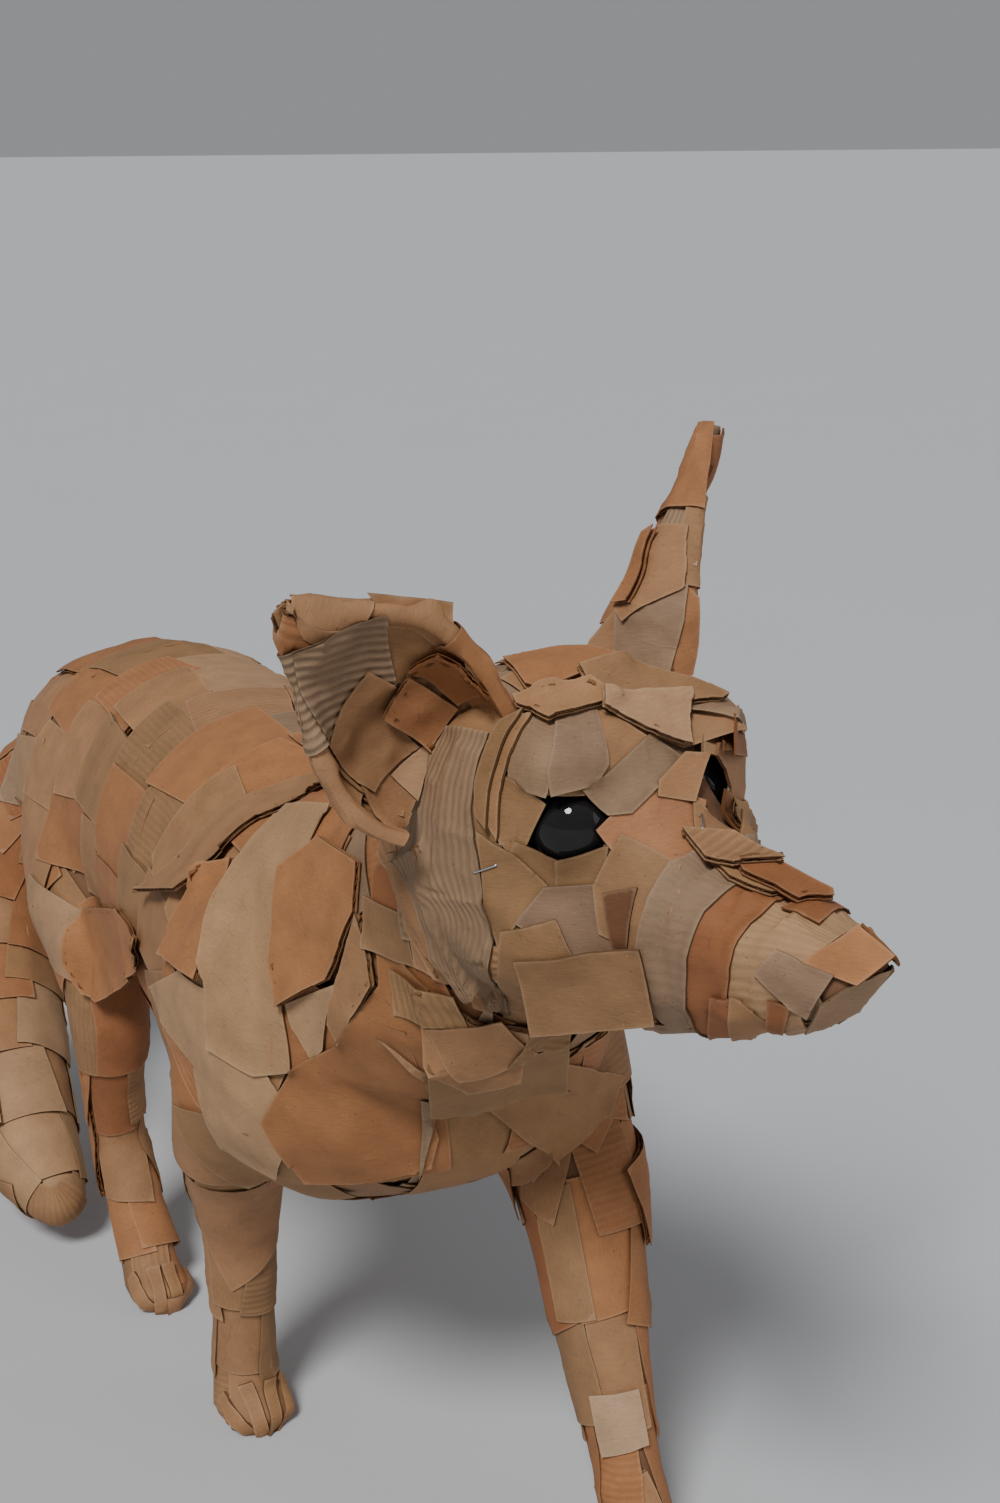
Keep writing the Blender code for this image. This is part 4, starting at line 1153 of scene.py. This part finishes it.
# A card that follows the ear's own curve, inside or outside
def layOnEar(pile, point, way, inside, shareRange, angleRange, look):
    inset = earShape["outerInset"] + (earShape["wall"] if inside else 0)
    (s0, s1), (a0, a1) = shareRange, angleRange
    long, round360 = earShape["length"], earShape["round"]
    rows = max(int(abs(s1 - s0) * long / look["step"]), 2)
    columns = max(int(abs(a1 - a0) / 360 * round360 / look["step"]), 2)
    spots, ways, flat = [], [], []
    rng = random.Random(look["seed"])
    skewS, skewA = rng.uniform(-0.03, 0.03), rng.uniform(-5, 5)
    for i in range(rows + 1):
        for j in range(columns + 1):
            x, y = j / columns, i / rows
            share = s0 + (s1 - s0) * y + skewS * (x - 0.5)
            degrees = min(max(a0 + (a1 - a0) * x + skewA * (y - 0.5), -earShape["arc"]), earShape["arc"])
            share = min(max(share, -0.03), 0.995)
            spots.append(point(share, degrees, inset))
            outward = way(share, degrees, inset)
            ways.append(-outward if inside else outward)
            flat.append((degrees / 360 * round360, share * long))
    faces = rowFaces(rows, columns + 1)
    faces = turnedOut(faces, spots, ways, len(faces) // 2)
    outline = [flat[0], flat[columns], flat[-1], flat[-1 - columns]]
    lay(pile, flat, faces, rimDistances(flat, outline), spots, ways, look)


# A strip folded over the ear's rim, from inside to outside
def wrapRim(pile, point, upper, shareRange, reachIn, reachOut, look, bulge):
    half = earShape["wall"] / 2 + bulge
    centre = earShape["outerInset"] + earShape["wall"] / 2
    side = 1 if upper else -1
    s0, s1 = shareRange
    halfWide, long = earShape["wrapWide"], earShape["wrapLong"]
    rows = max(int(abs(s1 - s0) * long / look["step"]), 3)
    turns = [k / 12 * 2 - 1 for k in range(13)]
    spots, flat = [], []

    def at(share, w):
        if abs(w) <= 0.3:
            phi = w / 0.3 * math.pi / 2
            return point(share, side * (earShape["arc"] + 1.5 * math.cos(phi)), centre - half * math.sin(phi))
        reach = reachOut if w > 0 else reachIn
        drop = (abs(w) - 0.3) / 0.7 * reach
        return point(share, side * (earShape["arc"] - drop), centre - math.copysign(half, w))

    for i in range(rows + 1):
        share = s0 + (s1 - s0) * i / rows
        for w in turns:
            spots.append(at(share, w))
            flat.append((w * halfWide, share * long))
    wide = len(turns)
    faces = rowFaces(rows, wide)
    ways = []
    for i in range(rows + 1):
        for j in range(wide):
            a = spots[i * wide + min(j + 1, wide - 1)] - spots[i * wide + max(j - 1, 0)]
            b = spots[min(i + 1, rows) * wide + j] - spots[max(i - 1, 0) * wide + j]
            ways.append(a.cross(b).normalized())
    core = point((s0 + s1) / 2, side * (earShape["arc"] - 4), centre)
    test = (rows // 2) * wide + wide // 2
    if ways[test].dot(spots[test] - core) < 0:
        ways = [-way for way in ways]
        faces = [face[::-1] for face in faces]
    outline = [(-halfWide, s0 * long), (halfWide, s0 * long), (halfWide, s1 * long), (-halfWide, s1 * long)]
    lay(pile, flat, faces, rimDistances(flat, outline), spots, ways, look)


earPiles = {}
for name, ear in ears.items():
    pile, ground, point, way = buildEar("ear" + name.capitalize(), ear)
    earPiles[name] = (pile, ground, point, way)
    rng = random.Random(71 if name == "right" else 72)
    for inside in (False, True):
        for i, s0 in enumerate((-0.03, 0.18, 0.40, 0.60, 0.78)):
            count = (5, 5, 4, 3, 2)[i]
            for k in range(count):
                span = 2 * earShape["arc"] / count
                a0 = -earShape["arc"] + span * k - 6
                tone = rng.choice(["tan", "tan", "greyTan", "sand", "orange"])
                layOnEar(pile, point, way, inside, (s0, s0 + 0.28), (a0, a0 + span + 12),
                         card(step=0.0026, shade=tone, seed=rng.random(), ridge=rng.choice((0, 0, 1)),
                              crinkle=0.0004, curl=0.0006, grain=1.57))

pile, ground, point, way = earPiles["right"]
layTable(pile, (
    ("wrapTwoInside", "tan", "paper", {"crinkle": 0.0002},
     [(366, 592), (449, 602), (445, 648), (405, 680), (386, 680), (386, 617)]),
    ("lowerWrap", "tan", "paper", {"crinkle": 0.0006},
     [(358, 781), (400, 740), (430, 752), (414, 798), (411, 842), (402, 850), (375, 816)]),
), 1100, ground, **patchesOn["ear"])
for s0, s1, tone, reach, bulge in ((0.36, 0.74, "tan", 22, 0.0004), (0.72, 0.985, "tan", 34, 0.0006),
                                   (-0.03, 0.40, "orange", 26, 0.0014)):
    wrapRim(pile, point, True, (s0, s1), reach, 26, card(shade=tone, seed=s0 + 3, crinkle=0.0003), bulge)
wrapRim(pile, point, False, (-0.03, 0.54), 8, 30, card(shade="tan", seed=5, crinkle=0.0003), 0.0006)
wrapRim(pile, point, False, (0.50, 0.86), 8, 30,
        card(step=0.0016, shade="greyTan", seed=6, crinkle=0.0002, ridge=1.6), 0.0004)
layTable(pile, (
    ("ridged", "greyTan", "paper", {"ridge": 1.6, "crinkle": 0.0003, "flat": 0.85},
     [(292, 655), (319, 642), (388, 617), (390, 682), (334, 742), (322, 738), (300, 690)]),
    ("longCard", "tan", "paper", {"crinkle": 0.0003},
     [(369, 673), (397, 690), (386, 716), (417, 746), (372, 792), (358, 782), (330, 747)]),
    ("scrap", "lightTan", "paper", {}, [(392, 775), (424, 745), (431, 753), (416, 798)]),
    ("squareLow", "orange", "board", {"liftToward": (-1, 0.3, 0.002)},
     [(408, 677), (456, 709), (430, 750), (385, 717), (396, 694)]),
    ("squareHigh", "rust", "board", {"liftToward": (0, -1, 0.002)},
     [(441, 647), (489, 691), (457, 706), (408, 677)]),
), 1120, ground, **patchesOn["ear"])

pile, ground, point, way = earPiles["left"]
for upper in (True, False):
    for s0, s1, tone, reach in ((-0.03, 0.36, "orange", 16), (0.32, 0.66, "tan", 16)):
        wrapRim(pile, point, upper, (s0, s1), reach, 24,
                card(shade=tone, seed=s0 + 7 + upper, crinkle=0.0003), 0.0002)
layOnEar(pile, point, way, True, (0.60, 0.99), (-100, 100), card(shade="rust", seed=1140, curl=0))
layOnEar(pile, point, way, False, (0.60, 0.995), (-100, 100), card(shade="orange", seed=1141, curl=0))
layTable(pile, (
    ("baseLeft", "tan", "paper", {"plane": ((40, -36, 40), (-0.5, 0.7, 0.5)), "thick": 0.001},
     [(621, 604), (591, 641), (583, 658), (622, 668)]),
    ("sideRight", "orange", "paper", {},
     [(684, 584), (697, 600), (700, 645), (695, 673), (664, 680), (678, 618)]),
    ("lowGrey", "greyTan", "paper", {"crinkle": 0.0006},
     [(685, 586), (680, 620), (665, 680), (618, 668), (620, 612)]),
    ("middle", "tan", "paper", {"crinkle": 0.0003},
     [(655, 527), (686, 527), (686, 588), (622, 618), (618, 606)]),
    ("edgeStrip", "orange", "board", {"liftToward": (1, 0, 0.001)},
     [(642, 534), (657, 529), (630, 600), (615, 602)]),
), 1150, ground, **patchesOn["ear"])
print("ears laid:", len(laid), "cards")


# Patterns that more than one material uses
def newGroup(name, inputs, outputs, treeKind="ShaderNodeTree"):
    tree = bpy.data.node_groups.new(name, treeKind)
    for label, kind, value in inputs:
        socket = tree.interface.new_socket(label, in_out="INPUT", socket_type="NodeSocket" + kind)
        if value is not None:
            socket.default_value = value
    for label, kind in outputs:
        tree.interface.new_socket(label, in_out="OUTPUT", socket_type="NodeSocket" + kind)
    return tree, tree.nodes.new("NodeGroupInput"), tree.nodes.new("NodeGroupOutput")


def addNode(tree, kind, settings=None, **inputs):
    node = tree.nodes.new(kind)
    for key, value in (settings or {}).items():
        setattr(node, key, value)
    for key, value in inputs.items():
        socket = node.inputs[int(key[1:])] if key[0] == "i" and key[1:].isdigit() else node.inputs[key]
        if isinstance(value, bpy.types.NodeSocket):
            tree.links.new(value, socket)
        else:
            socket.default_value = value
    return node


def mathNode(tree, operation, a, b=0.0, clamp=False):
    settings = {"operation": operation, "use_clamp": clamp}
    return addNode(tree, "ShaderNodeMath", settings, i0=a, i1=b).outputs[0]


def noiseNode(tree, vector, scale, detail):
    return addNode(tree, "ShaderNodeTexNoise", Vector=vector, Scale=scale, Detail=detail).outputs[0]


# How far a value is from a middle, times an amount
def around(tree, value, middle, amount, clamp=False):
    return mathNode(tree, "MULTIPLY", mathNode(tree, "SUBTRACT", value, middle, clamp), amount)


def makePaperGrain():
    tree, given, result = newGroup("paperGrain", [("Vector", "Vector", None), ("Streaks", "Float", 1.0)],
                                   [("Tone", "Float"), ("Height", "Float")])
    place = given.outputs["Vector"]
    streaks = addNode(tree, "ShaderNodeMapping", Vector=place, Scale=(260, 1500, 1))
    fibre = noiseNode(tree, streaks.outputs[0], 1.0, 5.0)
    fine = noiseNode(tree, place, 2600.0, 3.0)
    cloud = noiseNode(tree, place, 70.0, 4.0)
    fleck = noiseNode(tree, place, 900.0, 2.0)
    darkFleck = around(tree, fleck, 0.66, 5.0, True)
    lightFleck = mathNode(tree, "MULTIPLY", mathNode(tree, "SUBTRACT", 0.33, fleck, True), 4.0)
    tone = mathNode(tree, "MULTIPLY", around(tree, fibre, 0.5, 0.45), given.outputs["Streaks"])
    tone = mathNode(tree, "ADD", tone, around(tree, cloud, 0.5, 0.55))
    tone = mathNode(tree, "ADD", tone, mathNode(tree, "SUBTRACT", lightFleck, darkFleck))
    tree.links.new(mathNode(tree, "ADD", tone, 1.0), result.inputs["Tone"])
    height = mathNode(tree, "ADD", fibre, mathNode(tree, "MULTIPLY", fine, 0.6))
    tree.links.new(height, result.inputs["Height"])
    return tree


# The ridges that the flutes leave in the liner: a height for the bump, and painted shade, a tone that makes the
# colour lighter and darker in stripes along them
def makeWashboard():
    tree, given, result = newGroup("fluteRidgesAndShade", [("Vector", "Vector", None), ("Amount", "Float", 1.0)],
                                   [("Height", "Float"), ("Tone", "Float")])
    amount = given.outputs["Amount"]
    bands = {"wave_type": "BANDS", "bands_direction": "Y", "wave_profile": "SIN"}
    wave = addNode(tree, "ShaderNodeTexWave", bands, Vector=given.outputs["Vector"], Scale=95.0,
                   Distortion=1.6, Detail=2.0, **{"Detail Scale": 0.6}).outputs[1]
    tree.links.new(mathNode(tree, "MULTIPLY", wave, amount), result.inputs["Height"])
    # Painted shade: the colour is lightened and darkened with the ridge wave
    tone = mathNode(tree, "MULTIPLY", around(tree, wave, 0.5, 0.16), amount)
    tree.links.new(mathNode(tree, "ADD", tone, 1.0), result.inputs["Tone"])
    return tree


# Thin broken lines where the card has been bent, as a bump and as painted shade that darkens the colour along
# them
def makeCreases():
    tree, given, result = newGroup("creases", [("Vector", "Vector", None), ("Amount", "Float", 1.0)],
                                   [("Tone", "Float"), ("Height", "Float")])
    place = given.outputs["Vector"]
    drift = addNode(tree, "ShaderNodeTexNoise", Vector=place, Scale=40.0, Detail=2.0).outputs["Color"]
    bent = addNode(tree, "ShaderNodeVectorMath", {"operation": "SCALE"}, i0=drift, Scale=0.012).outputs[0]
    bent = addNode(tree, "ShaderNodeVectorMath", {"operation": "ADD"}, i0=place, i1=bent).outputs[0]
    cells = addNode(tree, "ShaderNodeTexVoronoi", {"feature": "DISTANCE_TO_EDGE"}, Vector=bent, Scale=62.0)
    line = mathNode(tree, "SUBTRACT", 1.0, mathNode(tree, "MULTIPLY", cells.outputs[0], 26.0), True)
    broken = mathNode(tree, "SUBTRACT", noiseNode(tree, place, 85.0, 2.0), 0.52, True)
    line = mathNode(tree, "MULTIPLY", line, mathNode(tree, "MULTIPLY", broken, 6.0, True))
    line = mathNode(tree, "MULTIPLY", line, given.outputs["Amount"])
    tree.links.new(line, result.inputs["Height"])
    # Painted shade: the colour is darkened along the crease lines
    tone = mathNode(tree, "SUBTRACT", 1.0, mathNode(tree, "MULTIPLY", line, 0.12))
    tree.links.new(tone, result.inputs["Tone"])
    return tree


def makeWornRim():
    tree, given, result = newGroup("wornRim", [("Vector", "Vector", None), ("Rim", "Float", 0.01)],
                                   [("Mask", "Float")])
    width = mathNode(tree, "MULTIPLY", noiseNode(tree, given.outputs["Vector"], 420.0, 3.0), 0.0022)
    mask = mathNode(tree, "SUBTRACT", 1.0, mathNode(tree, "DIVIDE", given.outputs["Rim"], width), True)
    tree.links.new(mask, result.inputs["Mask"])
    return tree


paperGrain, fluteRidgesAndShade, creases, wornRim = makePaperGrain(), makeWashboard(), makeCreases(), makeWornRim()


def newMaterial(name):
    material = bpy.data.materials.new(name)
    material.use_nodes = True
    tree = material.node_tree
    return material, tree, tree.nodes["Principled BSDF"]


def useGroup(tree, group, **inputs):
    node = tree.nodes.new("ShaderNodeGroup")
    node.node_tree = group
    for key, value in inputs.items():
        if isinstance(value, bpy.types.NodeSocket):
            tree.links.new(value, node.inputs[key])
        else:
            node.inputs[key].default_value = value
    return node


# The face of a card: its own tint, fibres, ridges left by the flutes, creases, and a scuffed rim; the ridges
# and creases also carry painted shade in the colour
def kraftCard(name, lightness, streaks, rimLight, bump):
    material, tree, shader = newMaterial(name)
    uv = addNode(tree, "ShaderNodeUVMap", {"uv_map": "cardUV"}).outputs[0]
    tint = addNode(tree, "ShaderNodeAttribute", {"attribute_name": "tint"}).outputs["Color"]
    rim = addNode(tree, "ShaderNodeAttribute", {"attribute_name": "rim"}).outputs["Fac"]
    ridge = addNode(tree, "ShaderNodeAttribute", {"attribute_name": "ridge"}).outputs["Fac"]
    grain = useGroup(tree, paperGrain, Vector=uv, Streaks=streaks)
    board = useGroup(tree, fluteRidgesAndShade, Vector=uv, Amount=ridge)
    worn = useGroup(tree, wornRim, Vector=uv, Rim=rim)
    creaseBumpAndShade = useGroup(tree, creases, Vector=uv, Amount=1.0)
    # The tint, times the fibres' own tone and the painted shade of the flute ridges and the creases
    tone = mathNode(tree, "MULTIPLY", grain.outputs["Tone"], board.outputs["Tone"])
    tone = mathNode(tree, "MULTIPLY", mathNode(tree, "MULTIPLY", tone, creaseBumpAndShade.outputs["Tone"]), lightness)
    coloured = addNode(tree, "ShaderNodeVectorMath", {"operation": "SCALE"}, i0=tint, Scale=tone).outputs[0]
    scuffed = addNode(tree, "ShaderNodeMix", {"data_type": "RGBA"})
    tree.links.new(mathNode(tree, "MULTIPLY", worn.outputs["Mask"], rimLight), scuffed.inputs["Factor"])
    tree.links.new(coloured, scuffed.inputs[6])
    scuffed.inputs[7].default_value = (*shade(206, 178, 146), 1)
    tree.links.new(scuffed.outputs[2], shader.inputs["Base Color"])
    rough = mathNode(tree, "ADD", mathNode(tree, "MULTIPLY", grain.outputs["Height"], 0.10), 0.66)
    tree.links.new(rough, shader.inputs["Roughness"])
    shader.inputs["Specular IOR Level"].default_value = 0.28
    height = mathNode(tree, "ADD", mathNode(tree, "MULTIPLY", grain.outputs["Height"], 0.00009),
                      mathNode(tree, "MULTIPLY", board.outputs["Height"], 0.00030))
    height = mathNode(tree, "ADD", height, mathNode(tree, "MULTIPLY", creaseBumpAndShade.outputs["Height"], 0.00010))
    relief = addNode(tree, "ShaderNodeBump", Strength=bump, Distance=1.0, Height=height)
    tree.links.new(relief.outputs[0], shader.inputs["Normal"])
    return material


# The cut edge of card, and the flutes inside it
def rawEdge(name, tone, depth):
    material, tree, shader = newMaterial(name)
    place = addNode(tree, "ShaderNodeTexCoord").outputs["Object"]
    grain = useGroup(tree, paperGrain, Vector=place, Streaks=0.6)
    tint = addNode(tree, "ShaderNodeAttribute", {"attribute_name": "tint"}).outputs["Color"]
    amount = mathNode(tree, "MULTIPLY", grain.outputs["Tone"], tone)
    coloured = addNode(tree, "ShaderNodeVectorMath", {"operation": "SCALE"}, i0=tint, Scale=amount).outputs[0]
    tree.links.new(coloured, shader.inputs["Base Color"])
    shader.inputs["Roughness"].default_value = 0.92
    shader.inputs["Specular IOR Level"].default_value = 0.15
    relief = addNode(tree, "ShaderNodeBump", Strength=depth, Distance=0.0001, Height=grain.outputs["Height"])
    tree.links.new(relief.outputs[0], shader.inputs["Normal"])
    return material


cardFace = kraftCard("kraft card", 1.0, 1.0, 0.14, 0.9)
bandFace = kraftCard("muzzle band card", 1.0, 0.7, 0.12, 0.8)
# The cut edges are darkened to 0.55 of the card's tint: partly the raw edge's own colour, partly painted shade
# so that the gaps between cards read as dark lines
cutEdgeWithGapShade = rawEdge("cut edge of card", 0.55, 0.5)
fluteFace = rawEdge("flutes", 0.62, 0.4)


# Painted shade, in part: the form's kraft is darker than any card so that the gaps between cards read as
# shadowed
underKraftAndGapShade = shade(112, 78, 52)


# The form under the cards, seen only in the gaps: kraft paper made darker than the cards, partly its own colour
# and partly painted shade in those gaps
def formSkin():
    material, tree, shader = newMaterial("kraft under the cards")
    place = addNode(tree, "ShaderNodeTexCoord").outputs["Object"]
    grain = useGroup(tree, paperGrain, Vector=place, Streaks=0.8)
    dark = addNode(tree, "ShaderNodeVectorMath", {"operation": "SCALE"}, i0=underKraftAndGapShade,
                   Scale=grain.outputs["Tone"])
    tree.links.new(dark.outputs[0], shader.inputs["Base Color"])
    shader.inputs["Roughness"].default_value = 0.9
    relief = addNode(tree, "ShaderNodeBump", Strength=0.5, Distance=0.0001, Height=grain.outputs["Height"])
    tree.links.new(relief.outputs[0], shader.inputs["Normal"])
    return material


underSkin.data.materials.clear()
underSkin.data.materials.append(formSkin())
underSkin.data.shade_smooth()


# The flutes at the boards' cut edges: a wave along each edge, drawn inward
fluteShape = {"height": 0.00052, "depth": 0.0022, "paper": 0.00025}


def fluteTree():
    tree, given, result = newGroup("fluteWave", [("Geometry", "Geometry", None), ("Height", "Float", None),
                                                 ("Depth", "Float", None)],
                                   [("Geometry", "Geometry")], "GeometryNodeTree")

    def named(name, kind):
        node = addNode(tree, "GeometryNodeInputNamedAttribute", {"data_type": kind}, Name=name)
        return node.outputs["Attribute"]

    turn = mathNode(tree, "MULTIPLY", named("phase", "FLOAT"), 2 * math.pi)
    rise = mathNode(tree, "MULTIPLY", mathNode(tree, "SINE", turn), given.outputs["Height"])
    offset = addNode(tree, "ShaderNodeVectorMath", {"operation": "SCALE"}, i0=named("rise", "FLOAT_VECTOR"),
                     Scale=rise).outputs[0]
    move = addNode(tree, "GeometryNodeSetPosition", Geometry=given.outputs["Geometry"], Offset=offset)
    draw = addNode(tree, "GeometryNodeExtrudeMesh", {"mode": "EDGES"}, Mesh=move.outputs[0],
                   Offset=named("inward", "FLOAT_VECTOR"), **{"Offset Scale": given.outputs["Depth"]})
    real = addNode(tree, "GeometryNodeRealizeInstances", i0=draw.outputs["Mesh"])
    paint = addNode(tree, "GeometryNodeSetMaterial", Geometry=real.outputs[0], Material=fluteFace)
    tree.links.new(paint.outputs[0], result.inputs[0])
    return tree


waveTree = fluteTree()


def buildFlutes(name, piles):
    ends = [p for pile in piles for p in pile.fluteEnds]
    info = [row for pile in piles for row in pile.fluteInfo]
    mesh = bpy.data.meshes.new(name)
    mesh.from_pydata([tuple(p) for p in ends], [(i - 1, i) for i, row in enumerate(info) if row[3]], [])
    addValues(mesh, "rise", [tuple(row[0]) for row in info], "FLOAT_VECTOR", "vector")
    addValues(mesh, "inward", [tuple(row[1]) for row in info], "FLOAT_VECTOR", "vector")
    addValues(mesh, "phase", [row[2] for row in info])
    addValues(mesh, "tint", [(*row[4], 1) for row in info], "FLOAT_COLOR", "color")
    obj = placed(name, mesh)
    waving = obj.modifiers.new("flutes", "NODES")
    waving.node_group = waveTree
    sockets = {item.name: item.identifier for item in waveTree.interface.items_tree
               if item.item_type == "SOCKET" and item.in_out == "INPUT"}
    waving[sockets["Height"]] = fluteShape["height"]
    waving[sockets["Depth"]] = fluteShape["depth"]
    wall = obj.modifiers.new("paper", "SOLIDIFY")
    wall.thickness = fluteShape["paper"]
    wall.offset = 0
    asMesh(obj)
    held = insideBox([tuple(vertex.co) for vertex in obj.data.vertices])
    obj.data.vertices.foreach_set("co", held.ravel())
    for label in ("rise", "inward", "phase"):
        if label in obj.data.attributes:
            obj.data.attributes.remove(obj.data.attributes[label])
    return obj


# The eyes: glossy black domes, a little flatter behind
eyeShape = {"radius": 0.01448, "rings": 28, "segments": 48, "flatFrom": 0.2, "flatness": 0.12}


# A plain finish with a faint mottle between two colours; rough is the least and how much the mottle adds
def mottled(name, scale, detail, colours, rough):
    material, tree, shader = newMaterial(name)
    place = addNode(tree, "ShaderNodeTexCoord").outputs["Object"]
    mottle = noiseNode(tree, place, scale, detail)
    ramp = addNode(tree, "ShaderNodeValToRGB", i0=mottle)
    for element, colour in zip(ramp.color_ramp.elements, colours):
        element.color = (*colour, 1)
    tree.links.new(ramp.outputs[0], shader.inputs["Base Color"])
    least, more = rough
    shader.inputs["Roughness"].default_value = least
    if more:
        varied = mathNode(tree, "ADD", mathNode(tree, "MULTIPLY", mottle, more), least)
        tree.links.new(varied, shader.inputs["Roughness"])
    return material, shader


eyeMaterial, eyeShader = mottled("black eye gloss", 160.0, 4.0,
                                 ((0.006, 0.006, 0.007), (0.016, 0.014, 0.013)), (0.01, 0.05))
eyeShader.inputs["IOR"].default_value = 1.36


def buildEye(name, node):
    centre = middleOf(node)
    bm = bmesh.new()
    bmesh.ops.create_uvsphere(bm, u_segments=eyeShape["segments"], v_segments=eyeShape["rings"],
                              radius=eyeShape["radius"])
    bmesh.ops.rotate(bm, verts=bm.verts, matrix=Matrix.Rotation(math.radians(90), 3, "X"))
    for vertex in bm.verts:
        behind = vertex.co.y / eyeShape["radius"] - eyeShape["flatFrom"]
        if behind > 0:
            vertex.co.y *= 1 - eyeShape["flatness"] * behind
    for vertex in bm.verts:
        vertex.co = headTurn @ vertex.co + centre
    mesh = meshOf(bm, name)
    mesh.shade_smooth()
    mesh.materials.append(eyeMaterial)
    return placed(name, mesh)


# Staples: a bent wire whose legs go into the card
stapleShape = {"crown": 0.0095, "wire": 0.00035, "leg": 0.0022, "bend": 0.0007, "proud": 0.0006, "sides": 10,
               "corner": 0.3}
staplePlaces = {"staple_temple": ((472, 873), (499, 864)), "staple_bridge": ((701, 811), (702, 834))}


stapleSteel, stapleShader = mottled("staple wire", 3000.0, 3.0, ((0.45, 0.45, 0.46), (0.72, 0.71, 0.70)),
                                    (0.2, 0.25))
stapleShader.inputs["Metallic"].default_value = 1.0


# The first card that a pixel looks at
def topmost(pixel):
    line = sightLine(*pixel)
    best = None
    for tree, _, _, _ in laid:
        hit = tree.ray_cast(cameraPlace, line, 2)
        if hit[0] is not None and (best is None or hit[3] < best[1]):
            best = (hit[0], hit[3])
    return best[0]


def buildStaples():
    bm = bmesh.new()
    for first, last in staplePlaces.values():
        start, end = topmost(first), topmost(last)
        _, facing = bodyGround.nearest((start + end) / 2)
        along = (end - start).normalized()
        facing = (facing - along * facing.dot(along)).normalized()
        half = stapleShape["crown"] / 2
        middle = (start + end) / 2 + facing * stapleShape["proud"]
        wire, leg, bend = stapleShape["wire"], stapleShape["leg"], stapleShape["bend"]
        corner = bend * stapleShape["corner"]
        arm = ((half, leg), (half, bend), (half - corner, corner), (half - bend, 0))
        path = [middle - along * out - facing * inward for out, inward in arm] + [middle]
        path += [middle + along * out - facing * inward for out, inward in arm[::-1]]
        sides = stapleShape["sides"]
        across = along.cross(facing)
        rings = []
        for i, spot in enumerate(path):
            tangent = (path[min(i + 1, len(path) - 1)] - path[max(i - 1, 0)]).normalized()
            normal = across.cross(tangent)
            rings.append([bm.verts.new(spot + across * wire * math.cos(a) + normal * wire * math.sin(a))
                          for a in [2 * math.pi * k / sides for k in range(sides)]])
        for a, b in zip(rings, rings[1:]):
            for k in range(sides):
                bm.faces.new((a[k], a[(k + 1) % sides], b[(k + 1) % sides], b[k]))
        bm.faces.new(rings[0][::-1])
        bm.faces.new(rings[-1])
    bmesh.ops.recalc_face_normals(bm, faces=bm.faces)
    mesh = meshOf(bm, "staples")
    mesh.shade_smooth()
    mesh.materials.append(stapleSteel)
    return placed("staples", mesh)


# Everything into its piece, with the CAD nodes that it stands for
nodes = sorted(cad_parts)
bodyNodes = [n for n in nodes if n.split("_")[0] in ("chest", "shoulder", "throat", "rump", "flank")]
bandNodes = [n for n in nodes if n.startswith("muzzle_band")]
headNodes = [n for n in nodes if n not in bodyNodes + bandNodes
             and not n.startswith(("ear_", "eye_", "staple", "figure"))]


def ship(obj, slot, *replaced):
    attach(obj, "root")
    if replaced:
        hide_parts(*replaced)


ship(underSkin, "figure_card", "figure")
cardFaces = [cardFace, cutEdgeWithGapShade]
ship(headCards.build(cardFaces), "head_card", *headNodes)
ship(muzzleBands.build([bandFace, cutEdgeWithGapShade]), "band_card", *bandNodes)
ship(bodyCards.build(cardFaces), "body_card", *bodyNodes)
ship(legCards.build(cardFaces), "body_card")
ship(tailCards.build(cardFaces), "body_card")
ship(earPiles["right"][0].build(cardFaces), "ear_card", "ear_right")
ship(earPiles["left"][0].build(cardFaces), "ear_card", "ear_left")
ship(buildFlutes("headFlutes", [headCards, earPiles["right"][0]]), "head_card")
ship(buildFlutes("bodyFlutes", [bodyCards, legCards, tailCards]), "body_card")
ship(buildEye("eyeRight", "eye_right"), "eye_gloss", "eye_right")
ship(buildEye("eyeLeft", "eye_left"), "eye_gloss", "eye_left")
ship(buildStaples(), "staple_wire", "staple_temple", "staple_bridge")
print("pieces built")

# Floor and light
floor = {"half": 30, "shade": (0.50, 0.51, 0.52), "mottle": 0.97, "rough": 0.7}
fill = {"place": (1.6, -1.4, 0.9), "target": (0, -0.1, 0.25), "size": 1.6, "energy": 7,
        "color": (0.98, 0.98, 1.0)}
keyLight = {"energy": 3.1, "spread": 16, "from": (-0.62, -0.62, 1.0)}
surroundings = {"colour": (0.84, 0.86, 0.90, 1), "strength": 0.34}


def buildFloor():
    half = floor["half"]
    mesh = bpy.data.meshes.new("floor")
    corners = [(-half, -half, 0), (half, -half, 0), (half, half, 0), (-half, half, 0)]
    mesh.from_pydata(corners, [], [(0, 1, 2, 3)])
    darker = tuple(channel * floor["mottle"] for channel in floor["shade"])
    mesh.materials.append(mottled("pale floor", 3.0, 3.0, (darker, floor["shade"]), (floor["rough"], 0))[0])
    obj = placed("floor", mesh)


def addFill():
    data = bpy.data.lights.new("fill", "AREA")
    data.shape = "DISK"
    for setting in ("size", "energy", "color"):
        setattr(data, setting, fill[setting])
    place = Vector(fill["place"])
    turn = (Vector(fill["target"]) - place).to_track_quat("-Z", "Y").to_matrix().to_4x4()
    placed("fill", data).matrix_world = Matrix.Translation(place) @ turn


def addKey():
    data = bpy.data.lights.new("key", "SUN")
    data.energy = keyLight["energy"]
    data.angle = math.radians(keyLight["spread"])
    placed("key", data).matrix_world = Vector(keyLight["from"]).to_track_quat("Z", "Y").to_matrix().to_4x4()


buildFloor()
addFill()
addKey()
world = bpy.data.worlds.new("studio")
world.use_nodes = True
world.node_tree.nodes["Background"].inputs[0].default_value = surroundings["colour"]
world.node_tree.nodes["Background"].inputs[1].default_value = surroundings["strength"]
bpy.context.scene.world = world
print("floor and lights ready")
